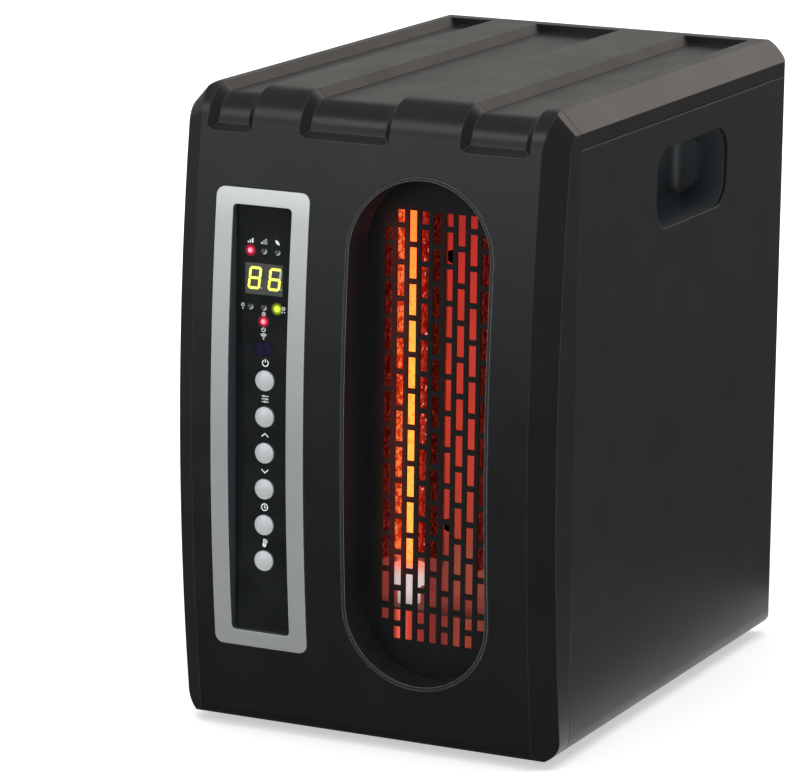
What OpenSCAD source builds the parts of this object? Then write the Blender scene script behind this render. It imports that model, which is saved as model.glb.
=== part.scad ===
// Compact cabinet infrared heater: bowed front bezel, channelled top cover, brick-slot outlet grille,
// two upright quartz tubes in a sheet-metal chamber, an axial fan behind them and a rear intake filter.
// X runs to the right, Y to the rear and Z up. The origin is under the middle of the whole heater,
// on the plane that its feet stand on.

/* [Cabinet] */
// Width across the side panels
body_w = 250; // [240:1:300]
// Height of the housing without its feet
body_h = 390; // [380:1:470]
// Depth of the cabinet behind the front seam
cabinet_d = 332; // [310:1:400]
// Thickness of the cabinet panels
wall_t = 2.4; // [2:0.2:3]
// Width of the bevel along the top edges
chamfer_w = 12.5; // [9:0.5:15]
// Height of the bevel along the top edges
chamfer_h = 13.5; // [9:0.5:16]
// Radius of the long bottom edges
bottom_r = 12; // [8:1:14]
// Radius of the rear edges
rear_r = 6; // [4:0.5:8]
// Height of the top cover's skirt below its bevel
skirt_h = 9; // [6:1:14]
// Width of the flange round the rear opening
rear_flange = 14; // [11:1:18]
// Height of the top cover's rail over the rear opening
rear_rail = 26; // [24:1:32]
// Width of the side panels' flanges under the base
base_flange = 22; // [18:1:26]
// Gap between neighbouring panels
seam = 0.4; // [0.3:0.1:0.6]

/* [Front bezel] */
// Depth of the bezel at its top and bottom
bezel_edge_d = 24; // [22:1:30]
// How far the bowed face bulges past that
bow_sag = 13; // [8:1:16]
// Thickness of the bezel's wall
bezel_t = 3; // [2.4:0.2:3.6]
// Width of the bevel down each side of the face
bevel_w = 14; // [10:1:16]
// Depth of the bevel down each side of the face
bevel_d = 11; // [8:1:13]
// Radius of the face's top edge
brow_r = 25; // [20:1:26]
// Radius of the face's bottom edge
chin_r = 10; // [6:1:12]
// Length of the tongue that locates the bezel inside the cabinet
tongue_l = 8; // [5:1:12]

/* [Top channels] */
// Depth of the channels
channel_d = 5; // [3:0.5:6]
// Width of a channel's sloped side
channel_slope = 5; // [3:0.5:6]
// Width of the left channel
channel_left_w = 30; // [24:1:34]
// Width of the middle channel
channel_mid_w = 59; // [50:1:64]
// Width of the right channel
channel_right_w = 45; // [38:1:50]
// Distance from the left side to the left channel
channel_left_edge = 18; // [16:1:24]
// Distance from the right side to the right channel
channel_right_edge = 21; // [18:1:26]
// Distance of the middle channel's centre to the left of the middle
channel_mid_off = 16; // [10:1:20]
// Length of the solid bridge behind the channels
channel_stop = 16; // [14:1:24]
// Height of the channels' front lips below the top
channel_lip = 26; // [24:1:28]
// Radius of the channels' front corners
channel_corner_r = 6; // [3:0.5:8]

/* [Outlet] */
// Width of the outlet opening
outlet_w = 92; // [76:1:96]
// Height of the outlet opening
outlet_h = 307; // [290:1:310]
// Distance from the right side to the outlet's centre
outlet_edge = 87.7; // [84:0.1:92]
// Drop of the outlet's centre below the middle of the housing
outlet_drop = 2.8; // [0:0.1:6]
// Wall of the outlet shroud
shroud_t = 2; // [1.6:0.2:2.6]
// Width of the shroud's rear flange
shroud_flange = 7; // [5:1:9]
// Distance from the seam forward to the grille
grille_y = 8; // [6:0.5:10]
// Thickness of the grille
grille_t = 2; // [1:0.2:2.4]
// Number of slot columns each side of the middle one
slot_cols = 4; // [3:1:4]
// Number of full slots in the tallest columns
slot_rows = 12; // [8:2:12]
// Distance between slot columns
slot_pitch_x = 7.9; // [7:0.1:8.4]
// Distance between slot rows
slot_pitch_z = 22.2; // [20:0.1:22.6]
// Width of a slot
slot_w = 5.2; // [4:0.1:6]
// Height of a slot
slot_h = 19; // [16:0.5:19.4]

/* [Control panel] */
// Width of the trim frame
trim_w = 62; // [58:1:66]
// Height of the trim frame
trim_h = 282; // [270:1:290]
// Corner radius of the trim frame
trim_r = 5.5; // [3:0.5:8]
// Width of the window in the trim frame
window_w = 39.5; // [38:0.5:42]
// Height of the window in the trim frame
window_h = 262.6; // [250:0.2:264]
// How far the trim stands proud of the bezel
trim_proud = 0.8; // [0.4:0.1:1.2]
// Wall of the trim's inner skirt
trim_skirt = 1.5; // [1.2:0.1:2]
// Distance from the left side to the panel's centre
panel_edge = 58.5; // [56:0.5:62]
// Drop of the panel's centre below the middle of the housing
panel_drop = 4.1; // [0:0.1:8]
// Distance from the seam forward to the fascia's face
fascia_y = 26.5; // [25.5:0.1:27]
// Thickness of the fascia
fascia_t = 2; // [1.4:0.2:2.4]
// Diameter of a button
button_d = 12.5; // [10:0.5:13.5]
// Distance between buttons
button_pitch = 22.3; // [18:0.1:23]
// Height of the first button's centre above the panel's centre
button_top = 24.2; // [20:0.1:30]
// How far a button stands out of the fascia
button_proud = 2.2; // [2:0.1:3.4]
// Travel of a button
button_travel = 0.8; // [0.5:0.1:0.8]
// Width of the number display
display_w = 25; // [22:0.5:28]
// Height of the number display
display_h = 19; // [17:0.5:20]
// Height of the display's centre above the panel's centre
display_up = 85.9; // [84:0.1:88]
// Distance of the display and the lamps to the left of the buttons
display_off = 1.3; // [0:0.1:2]
// Diameter of the indicator lamps
lamp_d = 3.9; // [3:0.1:5]

/* [Handles] */
// Length of a handle recess
handle_l = 115; // [100:1:125]
// Height of a handle recess
handle_h = 49.3; // [40:0.1:56]
// Corner radius of a handle recess
handle_r = 17; // [10:1:19]
// Radius of a handle recess's inner corners
handle_curve = 18; // [10:1:20]
// Depth of a handle recess
handle_d = 34; // [26:1:36]
// Distance of its centre behind the seam
handle_y = 174; // [150:1:190]
// Distance of its centre below the top
handle_drop = 65.5; // [60:0.5:72]
// Wall of the handle cup
cup_t = 2; // [1.6:0.2:2.6]

/* [Heating chamber] */
// Room in the chamber under the lower caps and over the upper ones
chamber_room = 6; // [5:0.5:9]
// Depth of the chamber behind the grille
chamber_d = 68; // [62:1:76]
// Thickness of the sheet metal
sheet_t = 1; // [0.8:0.1:1.4]
// Distance between the two quartz tubes
tube_pitch = 64; // [60:1:66]
// Distance of the tubes behind the seam
tube_y = 27; // [25:1:30]
// Outer radius of a quartz tube
tube_r = 5; // [4.5:0.1:5.5]
// Wall of a quartz tube
tube_wall = 1; // [0.8:0.1:1.2]
// Length of tube between its end caps
tube_l = 224; // [216:1:228]
// Height of the tubes' middle above the outlet's middle
tube_up = 18; // [14:1:20]
// Radius of a ceramic end cap
cap_r = 7; // [6.5:0.1:8]
// Length of a ceramic end cap
cap_l = 24; // [20:1:26]
// Radius of the collar round a cap's mouth
collar_r = 10.5; // [9:0.1:12]
// Length of the collar
collar_l = 12; // [8:1:14]
// Depth of the tube's seat in its cap
cap_seat = 8; // [6:1:10]
// Radius of the reflectors
reflector_r = 20; // [18:0.5:21]
// Turns of each heating coil
coil_turns = 22; // [10:1:24]

/* [Fan] */
// Width and height of the fan frame
fan_w = 120; // [112:1:124]
// Depth of the fan frame
fan_d = 38; // [34:1:42]
// Bore of the fan frame
fan_bore = 114; // [106:1:116]
// Radius of the fan's hub
hub_r = 27; // [22:1:30]
// Number of blades
blades = 7; // [5:1:9]
// Clearance of the blade tips in the bore
tip_gap = 1; // [0.8:0.1:2]
// Length of the duct between chamber and fan
duct_l = 34; // [24:1:44]
// Radius of the fan's shaft
shaft_r = 3; // [2.5:0.5:4]
// Radial clearance of the shaft in the motor
shaft_gap = 0.05; // [0.03:0.01:0.08]

/* [Rear] */
// Width of the intake
intake_w = 180; // [160:1:184]
// Height of the intake
intake_h = 216; // [180:1:220]
// Height of the intake's centre above the housing's middle
intake_up = 22; // [16:1:26]
// Thickness of the filter
filter_t = 5.6; // [4:0.2:6]
// Depth of the filter cover
cover_t = 6; // [5:0.2:6.4]
// Clearance round the filter cover
cover_gap = 0.5; // [0.4:0.1:1]
// Number of slats in the filter cover
slats = 15; // [9:1:17]
// Distance of the rocker switch and the cord inlet from the middle
socket_x = 66; // [50:1:76]
// Height of the rocker switch and the cord inlet
socket_z = 52; // [44:1:56]
// Height of the rocker switch
switch_h = 21; // [18:1:24]
// Width of the rocker switch
switch_w = 15; // [13:1:18]
// Swing of the rocker from one side to the other
rocker_swing = 16; // [10:1:20]
// Bore of the cord inlet
inlet_bore = 8; // [6:0.5:9]

/* [Feet] */
// Height of the feet
foot_h = 5; // [4:0.5:12]
// Radius of the feet
foot_r = 12; // [9:1:14]
// Distance of the feet in from the sides
foot_inset = 40; // [38:1:50]
// Distance of the front feet behind the seam
foot_front = 30; // [24:1:50]
// Distance of the rear feet in front of the rear
foot_rear = 40; // [34:1:60]

/* [Hidden] */
$fn = 96;
// Fineness of the long bow, which has a radius of over a metre
bow_fn = 720;
half_w = body_w / 2;
front_reach = bezel_edge_d + bow_sag + trim_proud;
total_d = front_reach + cabinet_d;
seam_y = front_reach - total_d / 2;
// The bow is an arc that is lowest 5 mm up and 15 mm below the top
bow_z = body_h / 2 - 5;
bow_half = body_h / 2 - 10;
bow_r = (bow_half * bow_half + bow_sag * bow_sag) / (2 * bow_sag);
bow_y = bow_r - bezel_edge_d - bow_sag;
// Centre of an arc of radius r at height z that rounds a bow of radius bow into a level edge
function arc_centre(bow, r, z) = [bow_y - sqrt((bow - r) * (bow - r) - (z - bow_z) * (z - bow_z)), z];
brow_c = arc_centre(bow_r, brow_r, body_h - brow_r);
// Direction in which the brow's arc leaves the bow
brow_away = (brow_c - [bow_y, bow_z]) / norm(brow_c - [bow_y, bow_z]);
split_z = body_h - chamfer_h - skirt_h;
split_x = half_w - base_flange;
outlet_x = half_w - outlet_edge;
outlet_z = body_h / 2 - outlet_drop;
panel_x = panel_edge - half_w;
panel_z = body_h / 2 - panel_drop;
channels = [
    [channel_left_edge - half_w + channel_left_w / 2, channel_left_w],
    [-channel_mid_off, channel_mid_w],
    [half_w - channel_right_edge - channel_right_w / 2, channel_right_w]
];
handle_z = body_h - handle_drop;
fit = 0.3;
// How far a rounding arc reaches past the face it blends into, so that the two cross
overlap = 0.01;
// Planes behind the fascia, as distances in front of the seam
fascia_back = fascia_y - fascia_t;
button_flange_t = 1;
button_flange_gap = 0.2;
button_back = fascia_back - button_flange_gap - button_flange_t;
board_t = 1.6;
board_y = 17;
key_gap = button_travel + 0.15;
buttons_z = [for (i = [0:5]) panel_z + button_top - i * button_pitch];
lamp_step = 9;
lamp_row_up = 103;
lamp_row_low = 68.7;
lamp_power = 60.3;
lamps = [
    [-lamp_step, lamp_row_up], [0, lamp_row_up], [lamp_step, lamp_row_up],
    [-lamp_step, lamp_row_low], [0, lamp_row_low], [lamp_step, lamp_row_low], [0, lamp_power]
];
receiver_w = 11;
receiver_h = 8;
receiver_up = 43.6;
tray_t = 2.2;
tray_w = window_w + 2 * (trim_skirt + 1) + 2 * tray_t;
tray_h = window_h + 2 * (trim_skirt + 1) + 2 * tray_t;
tray_back = 5;
// Ears that screw the tray to the back of the bezel
ear_t = 3;
ear_l = 10;
screw_r = 1.5;
screw_l = 10;
boss_r = 3.8;
shroud_flange_t = 2;
tray_screws = [for (s = [-1, 1]) [panel_x, panel_z + s * (tray_h + ear_l) / 2]];
chamber_screw_up = outlet_h / 2 + shroud_t + shroud_flange + boss_r + 1.3;
chamber_screws = [for (s = [-1, 1]) [outlet_x, outlet_z + s * chamber_screw_up]];
// The chamber is as wide as its two reflectors and as high as the tubes with their caps
neck_r = 3.8;
neck_l = 4;
tube_low = outlet_z + tube_up - tube_l / 2;
tube_high = tube_low + tube_l;
chamber_w = tube_pitch + 2 * (reflector_r + 2 * sheet_t + fit);
chamber_below = 28;
chamber_z = tube_low - cap_l - neck_l - chamber_below - chamber_room;
chamber_h = tube_high + cap_l + neck_l + chamber_room - chamber_z;
chamber_front = -grille_y + grille_t + fit;
chamber_back = chamber_front + chamber_d;
duct_front = chamber_back + 0.1;
duct_back = duct_front + duct_l;
fan_front = duct_back + 0.1;
fan_back = fan_front + fan_d;
wheel_front = fan_front + 5;
wheel_l = 22;
motor_front = wheel_front + wheel_l + 1;
motor_r = hub_r - 2;
// Planes of the rear panel and what sits in it
plate_back = cabinet_d - wall_t - 0.2;
plate_front = plate_back - wall_t;
cover_back = cabinet_d - 0.6;
cover_front = cover_back - cover_t;
filter_back = cover_front - 0.2;
filter_front = filter_back - filter_t;
pocket_floor = filter_front - 0.2;
grid_t = 2;
grid_cells_x = 6;
grid_cells_z = 7;
intake_z = body_h / 2 + intake_up;
pocket_t = 2;
rocker_pivot = plate_back - 4;

module in_body() translate([0, seam_y, foot_h]) children();
// Draws a profile in (y, z) and runs it along X
module along_x(x0, x1) translate([x0, 0, 0]) rotate([90, 0, 90]) linear_extrude(x1 - x0) children();
// Draws a profile in (x, z) and runs it along Y
module along_y(y0, y1) translate([0, y1, 0]) rotate([90, 0, 0]) linear_extrude(y1 - y0) children();
// What a rounding takes off a corner that points to +x and +y, drawn from the arc's centre
module corner_cut(r) difference() {
    square(r + 2);
    circle(r);
}
module rounded_rect(w, h, r) difference() {
    square([w, h], center = true);
    for (sx = [0, 1], sy = [0, 1]) mirror([sx, 0]) mirror([0, sy])
        translate([w / 2 - r, h / 2 - r]) corner_cut(r);
}
module stadium(w, h) {
    square([w, h - w], center = true);
    for (s = [-1, 1]) translate([0, s * (h - w) / 2]) circle(w / 2);
}
// Cross-section of the housing, drawn t inside its outer faces
module housing_section(t = 0) {
    slant = norm([chamfer_w, chamfer_h]);
    top_x = half_w - chamfer_w + (chamfer_w * t - slant * t) / chamfer_h;
    side_z = body_h - (slant * t + chamfer_h * chamfer_w - chamfer_h * t) / chamfer_w;
    difference() {
        polygon([
            [-half_w + t, t], [half_w - t, t], [half_w - t, side_z], [top_x, body_h - t],
            [-top_x, body_h - t], [-half_w + t, side_z]
        ]);
        for (s = [0, 1]) mirror([s, 0])
            translate([half_w - bottom_r, bottom_r]) mirror([0, 1]) corner_cut(bottom_r - t);
    }
}
module channel_section(x, w, deep = channel_d, grow = 0) {
    floor_w = w - 2 * channel_slope * deep / channel_d + 2 * grow;
    lift = 10;
    rise = channel_slope / channel_d;
    translate([x, body_h]) polygon([
        [-floor_w / 2, -deep], [floor_w / 2, -deep],
        [floor_w / 2 + (deep + lift) * rise, lift], [-floor_w / 2 - (deep + lift) * rise, lift]
    ]);
}
module cabinet_form() difference() {
    along_y(0, cabinet_d) housing_section();
    for (s = [0, 1]) mirror([s, 0, 0])
        translate([half_w - rear_r, cabinet_d - rear_r, -1]) linear_extrude(body_h + 2) corner_cut(rear_r);
    along_x(-half_w - 1, half_w + 1) translate([cabinet_d - rear_r, body_h - rear_r]) corner_cut(rear_r);
    along_x(-half_w - 1, half_w + 1) translate([cabinet_d - rear_r, rear_r]) mirror([0, 1]) corner_cut(rear_r);
}
module cabinet_shell() difference() {
    cabinet_form();
    along_y(-1, cabinet_d - wall_t) housing_section(wall_t);
    translate([rear_flange - half_w, cabinet_d - 2 * wall_t, rear_flange])
        cube([body_w - 2 * rear_flange, 4 * wall_t, body_h - rear_flange - rear_rail]);
}
module top_cover() color("#2c2e2c") in_body() difference() {
    union() {
        intersection() {
            cabinet_shell();
            translate([-half_w - 1, -1, split_z]) cube([body_w + 2, cabinet_d + 2, body_h]);
        }
        intersection() {
            along_y(0, cabinet_d - wall_t - 0.2) housing_section(wall_t / 2);
            for (c = channels) along_y(0, cabinet_d - channel_stop + wall_t)
                channel_section(c[0], c[1], channel_d + wall_t, wall_t);
        }
    }
    for (c = channels) along_y(-1, cabinet_d - channel_stop) channel_section(c[0], c[1]);
}
module side_panel() intersection() {
    difference() {
        cabinet_shell();
        along_x(0, half_w + 1) translate([handle_y, handle_z]) rounded_rect(handle_l, handle_h, handle_r);
        rear_screw_places() rear_screw(0.2);
        rear_screw_places() along_y(cabinet_d - 0.2, cabinet_d + 1) circle(2 * screw_r + 0.2);
    }
    translate([split_x, -1, -1]) cube([base_flange + 1, cabinet_d + 2, split_z - seam + 1]);
}
module right_side_panel() color("#2f2d2b") in_body() side_panel();
module left_side_panel() color("#2f2d2b") in_body() mirror([1, 0, 0]) side_panel();
module base_plate() color("#262626") in_body() difference() {
    union() {
        intersection() {
            cabinet_shell();
            translate([-split_x + seam, -1, -1]) cube([2 * (split_x - seam), cabinet_d + 2, rear_flange + 1]);
        }
        // Joggled edges that lie on the side panels' flanges
        for (s = [0, 1]) mirror([s, 0, 0])
            translate([split_x - seam - 6, fit, wall_t])
                cube([base_flange - bottom_r + 5, cabinet_d - 8, wall_t]);
    }
    foot_places() translate([0, 0, -1]) cylinder(r = foot_stem_r + fit, h = wall_t + 2);
}
foot_stem_r = 5;
module foot_places() for (s = [-1, 1], y = [foot_front, cabinet_d - foot_rear])
    translate([s * (half_w - foot_inset), y, 0]) children();
module feet() color("#1c1c1c") in_body() foot_places() difference() {
    union() {
        translate([0, 0, -foot_h]) cylinder(r1 = foot_r - 1, r2 = foot_r, h = foot_h);
        cylinder(r = foot_stem_r, h = wall_t + 1.5);
    }
    translate([0, 0, -foot_h - 1]) cylinder(r = 4.5, h = 4);
    translate([0, 0, -foot_h]) cylinder(r = 2.2, h = foot_h + wall_t + 3);
}
module foot_screws() color("silver") in_body() foot_places() {
    translate([0, 0, 3 - foot_h]) mirror([0, 0, 1]) cylinder(r1 = 4, r2 = 2.6, h = 1.8);
    translate([0, 0, 3 - foot_h]) cylinder(r = 2, h = foot_h + wall_t);
    translate([0, 0, wall_t + 1.6]) cylinder(r = 4.2, h = 2.2, $fn = 6);
}

// The bowed block of the bezel, drawn t inside its face and low inside its bottom
module bow_profile(t, top, bottom, top_r, bottom_r) {
    difference() {
        intersection() {
            translate([bow_y, bow_z]) circle(bow_r - t, $fn = bow_fn);
            translate([-60, bottom]) square([60 - seam, top - bottom]);
        }
        bow_corner(arc_centre(bow_r - t, top_r, top - top_r), top_r, 1);
        bow_corner(arc_centre(bow_r - t, bottom_r, bottom + bottom_r), bottom_r, -1);
    }
}
// What is cut where the bow is rounded into a level edge above (up = 1) or below (up = -1)
module bow_corner(c, r, up) difference() {
    corner_wedge(c, r, up);
    translate(c) circle(r + overlap);
}
module corner_wedge(c, r, up) {
    away = (c - [bow_y, bow_z]) / norm(c - [bow_y, bow_z]);
    reach = 3;
    polygon([
        c, c + away * (r + reach), [c[0] - r - 2 * reach, c[1] + up * (r + reach)],
        [c[0], c[1] + up * (r + reach)]
    ]);
}
// Cones that bevel both sides of the bowed face, coaxial with it, and turn over its brow
module side_bevels(t) {
    rise = bevel_d / bevel_w;
    ridge = 24;
    over = 5;
    slip = t * norm([bevel_d, bevel_w]) / bevel_w;
    difference() {
        translate([0, bow_y, bow_z]) rotate([0, 90, 0]) rotate_extrude($fn = bow_fn) polygon([
            [bow_r - 90, -half_w - over], [bow_r - slip - rise * (bevel_w + over), -half_w - over],
            [bow_r - slip + rise * ridge, bevel_w + ridge - half_w],
            [bow_r - slip + rise * ridge, half_w - bevel_w - ridge],
            [bow_r - slip - rise * (bevel_w + over), half_w + over], [bow_r - 90, half_w + over]
        ]);
        for (s = [0, 1]) mirror([s, 0, 0]) difference() {
            along_x(half_w - bevel_w - 2, half_w + 2 * over) corner_wedge(brow_c, brow_r, 1);
            brow_cone(brow_r - slip, rise);
        }
    }
}
// The bevel over the brow leans outwards, so that it reaches the bevel of the top in a crease
module brow_cone(r, rise) translate([half_w - bevel_w, brow_c[0], brow_c[1]])
    rotate(a = -brow_lean, v = [0, brow_away[0], brow_away[1]]) rotate([0, 90, 0]) rotate_extrude() polygon([
        [0, -10], [r + 10 * rise, -10], [r - rise * (bevel_w + 10), bevel_w + 10], [0, bevel_w + 10]
    ]);
brow_lean = 9;
module bezel_block() intersection() {
    along_x(-half_w - 2, half_w + 2) bow_profile(0, body_h, 0, brow_r, chin_r);
    side_bevels(0);
    along_y(-70, 1) housing_section();
}
brow_wall = channel_d + bezel_t;
module bezel_hollow() {
    intersection() {
        union() {
            along_x(-half_w, half_w)
                bow_profile(bezel_t, body_h - brow_r - 12, bezel_t, 2, chin_r - bezel_t);
            along_x(-half_w, half_w) intersection() {
                translate(brow_c - [0, 20]) square([30, brow_r - brow_wall + 20]);
                translate([-60, 0]) square([61, body_h]);
            }
            along_x(-half_w, half_w) intersection() {
                translate(brow_c) circle(brow_r - brow_wall);
                translate([-60, 0]) square([61, body_h]);
            }
        }
        side_bevels(bezel_t);
        along_y(-70, 2) housing_section(bezel_t);
    }
}
module front_bezel() color("#2b2c2c") in_body() difference() {
    union() {
        difference() {
            bezel_block();
            bezel_hollow();
        }
        bezel_tongue();
        bezel_bosses();
    }
    for (c = channels) bezel_channel(c[0], c[1]);
    along_y(-70, 10) translate([outlet_x, outlet_z])
        stadium(outlet_w + 2 * (shroud_t + fit), outlet_h + 2 * (shroud_t + fit));
    along_y(-70, 10) translate([panel_x, panel_z])
        rounded_rect(window_w + 2 * (trim_skirt + fit), window_h + 2 * (trim_skirt + fit), 3 + trim_skirt);
    trim_layer(-1, 4, 0.4);
    for (p = concat(tray_screws, chamber_screws))
        along_y(-tray_back - screw_l, 0) translate(p) circle(screw_r + 0.1);
}
// Tongue round the sides and bottom of the bezel that slips inside the cabinet panels
module bezel_tongue() {
    inset = wall_t + fit;
    root = 4;
    tongue_t = 1.8;
    intersection() {
        union() {
            along_y(-root, tongue_l) difference() {
                housing_section(inset);
                housing_section(inset + tongue_t);
            }
            along_y(-root, -seam) difference() {
                housing_section(min(bezel_t, inset) - 0.5);
                housing_section(inset + tongue_t);
            }
        }
        translate([-half_w, -10, 2 * wall_t + 1]) cube([body_w, 40, split_z - 30]);
    }
}
// Bosses behind the bezel's face for the screws of the tray and of the chamber
module bezel_bosses() {
    skin = 1.5;
    rib_x = outlet_w / 2 + shroud_t + shroud_flange / 2 + 0.4;
    intersection() {
        union() {
            for (p = tray_screws) along_y(-60, -tray_back - ear_t) translate(p) circle(boss_r);
            for (p = chamber_screws) along_y(-60, chamber_front - 0.1) translate(p) circle(boss_r);
            // Ribs that the shroud's flange is pressed against
            for (x = [-rib_x, rib_x], z = [-70, 0, 70]) along_y(-60, -grille_y - shroud_flange_t - 0.2)
                translate([outlet_x + x, outlet_z + z]) square([shroud_flange - 1, 2], center = true);
        }
        along_x(-half_w, half_w) bow_profile(skin, body_h - skin, skin, brow_r - skin, chin_r - skin);
    }
}
// A pan-head screw whose head rests on the plane y and whose shank runs forward
module pan_screw(y, l) difference() {
    union() {
        along_y(y - l, y + 0.1) circle(screw_r);
        translate([0, y, 0]) rotate([-90, 0, 0])
            cylinder(r1 = 2 * screw_r, r2 = 1.6 * screw_r, h = pan_h);
    }
    cross_recess(y + pan_h - 0.9);
}
pan_h = 1.8;
module cross_recess(y) for (a = [0, 90]) rotate([0, a, 0])
    along_y(y, y + 3) square([0.7, 3.2], center = true);
module bezel_screws() color("#5a5a5a") in_body() {
    for (p = tray_screws) translate([p[0], 0, p[1]]) pan_screw(-tray_back, screw_l - 2);
    for (p = chamber_screws) translate([p[0], 0, p[1]]) pan_screw(chamber_front + sheet_t, screw_l - 2);
}
// One channel of the top, run over the brow of the bezel down to its sloped lip
module bezel_channel(x, w) {
    floor_r = brow_r - channel_d;
    floor_w = w - 2 * channel_slope;
    over = 3;
    rise = channel_slope / channel_d;
    along_y(brow_c[0], 1) channel_section(x, w);
    intersection() {
        translate([x, brow_c[0], brow_c[1]]) rotate([0, 90, 0]) rotate_extrude() polygon([
            [floor_r, -floor_w / 2], [floor_r, floor_w / 2],
            [brow_r + over, w / 2 + over * rise], [brow_r + over, -w / 2 - over * rise]
        ]);
        along_x(x - w, x + w) polygon([
            [brow_c[0], body_h + 9], [-70, body_h + 9], [-70, body_h - channel_lip - 35],
            [brow_c[0] - brow_r, body_h - channel_lip], [brow_c[0] - floor_r + 0.2, body_h - channel_lip + 4],
            [brow_c[0], body_h - channel_lip + 19]
        ]);
        along_y(-70, 10) translate([x, body_h - channel_lip + 40])
            rounded_rect(w + 2 * over, 80, channel_corner_r + over);
    }
}
// A layer of the trim frame between two offsets from the bowed face, grown sideways
module trim_layer(low, high, grow) intersection() {
    along_y(-70, 0) translate([panel_x, panel_z])
        rounded_rect(trim_w + 2 * grow, trim_h + 2 * grow, trim_r + grow);
    bow_skin(low, high);
}
module bow_skin(low, high) along_x(-half_w, half_w) intersection() {
    translate([bow_y, bow_z]) difference() {
        circle(bow_r + high, $fn = bow_fn);
        circle(bow_r + low, $fn = bow_fn);
    }
    translate([-60, -5]) square([60, body_h + 10]);
}
module trim_frame() color("#c4c4c2") in_body() difference() {
    union() {
        trim_layer(-0.9, trim_proud, 0);
        intersection() {
            along_y(-70, -fascia_y - 0.1) translate([panel_x, panel_z])
                rounded_rect(window_w + 2 * trim_skirt, window_h + 2 * trim_skirt, 3 + trim_skirt);
            bow_skin(-20, trim_proud - 0.4);
        }
    }
    along_y(-70, 0) translate([panel_x, panel_z]) rounded_rect(window_w, window_h, 3);
}
module at_panel() translate([panel_x, 0, panel_z]) children();
module control_fascia() color("#0c0c0d") in_body() at_panel() along_y(-fascia_y, -fascia_back) difference() {
    rounded_rect(tray_w - 2 * tray_t - 2 * fit, tray_h - 2 * tray_t - 2 * fit, 4);
    translate([-display_off, display_up]) square([display_w + 2 * fit, display_h + 2 * fit], center = true);
    translate([-display_off, receiver_up]) square([receiver_w + 2 * fit, receiver_h + 2 * fit], center = true);
    for (p = lamps) translate([p[0] - display_off, p[1]]) circle(lamp_d / 2 + 0.15);
    for (i = [0:5]) translate([0, button_top - i * button_pitch]) circle(button_d / 2 + fit);
}
module control_tray() color("#1d1d1e") in_body() at_panel() difference() {
    union() {
        along_y(-fascia_y - 0.4, -tray_back) square([tray_w, tray_h], center = true);
        along_y(-tray_back - ear_t, -tray_back) rounded_rect(tray_w, tray_h + 2 * ear_l, 6);
    }
    along_y(-fascia_y - 1, -fascia_back + 0.2)
        square([tray_w - 2 * tray_t, tray_h - 2 * tray_t], center = true);
    along_y(-fascia_y - 1, -tray_back - 2)
        square([tray_w - 2 * tray_t - 3, tray_h - 2 * tray_t - 3], center = true);
    along_y(-tray_back - 4, 1) translate([0, -40]) square([18, 26], center = true);
    for (s = [-1, 1]) along_y(-tray_back - 4, 1)
        translate([0, s * (tray_h + ear_l) / 2]) circle(screw_r + 0.2);
}
module control_board() color("#1d5a34") in_body() at_panel() {
    difference() {
        along_y(-board_y, -board_y + board_t)
            square([tray_w - 2 * tray_t - 4, tray_h - 2 * tray_t - 6], center = true);
        board_posts(1.5);
    }
    // Controller chip and connector on the back of the board
    translate([-9, -board_y + board_t, -62]) cube([18, 2.4, 12]);
    translate([-8, -board_y + board_t, -34]) cube([16, 6, 8]);
    // Standoffs down to the tray
    difference() {
        board_posts_solid();
        board_posts(1.5);
    }
}
module board_post_places() for (sx = [-1, 1], sz = [-1, 1])
    translate([sx * (tray_w / 2 - tray_t - 5.5), 0, sz * (tray_h / 2 - tray_t - 8)]) children();
module board_posts(r) board_post_places() along_y(-board_y - 1, -tray_back - 1) circle(r);
module board_posts_solid() board_post_places() along_y(-board_y + board_t, -tray_back - 2) circle(3);
module display_module() color("#3a3d36") in_body() at_panel() translate([-display_off, 0, display_up])
    along_y(0.1 - fascia_y, -board_y) square([display_w, display_h], center = true);
module indicator_lamps() color("#7d8a86") in_body() at_panel() for (p = lamps)
    translate([p[0] - display_off, 0, p[1]]) {
        along_y(-fascia_y + 0.5, -board_y) circle(lamp_d / 2);
        translate([0, -fascia_y + 0.5, 0]) sphere(lamp_d / 2);
    }
module receiver_window() color("#241640") in_body() at_panel() translate([-display_off, 0, receiver_up])
    along_y(-fascia_y, -board_y) square([receiver_w, receiver_h], center = true);
module key_switches() color("#3c3c3c") in_body() at_panel() for (i = [0:5])
    translate([0, 0, button_top - i * button_pitch]) {
        along_y(-board_y - 3.4, -board_y) square(6, center = true);
        along_y(-button_back + key_gap, -board_y - 3) circle(1.75);
    }
// A domed push button with a retaining flange behind the fascia
module button(i) color("#cfd0d2") in_body() translate([panel_x, 0, buttons_z[i]]) {
    rim = fascia_y + button_proud - 1.2;
    dome_r = (button_d * button_d / 4 + 1.44) / 2.4;
    intersection() {
        along_y(-rim - 2, -button_back) circle(button_d / 2);
        translate([0, dome_r - fascia_y - button_proud, 0]) sphere(dome_r, $fn = 128);
        translate([-10, -50, -10]) cube([20, 50, 20]);
    }
    along_y(-button_back - button_flange_t, -button_back) circle(button_d / 2 + 1.3);
}
module button_power() button(0);
module button_mode() button(1);
module button_up() button(2);
module button_down() button(3);
module button_timer() button(4);
module button_units() button(5);

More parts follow.
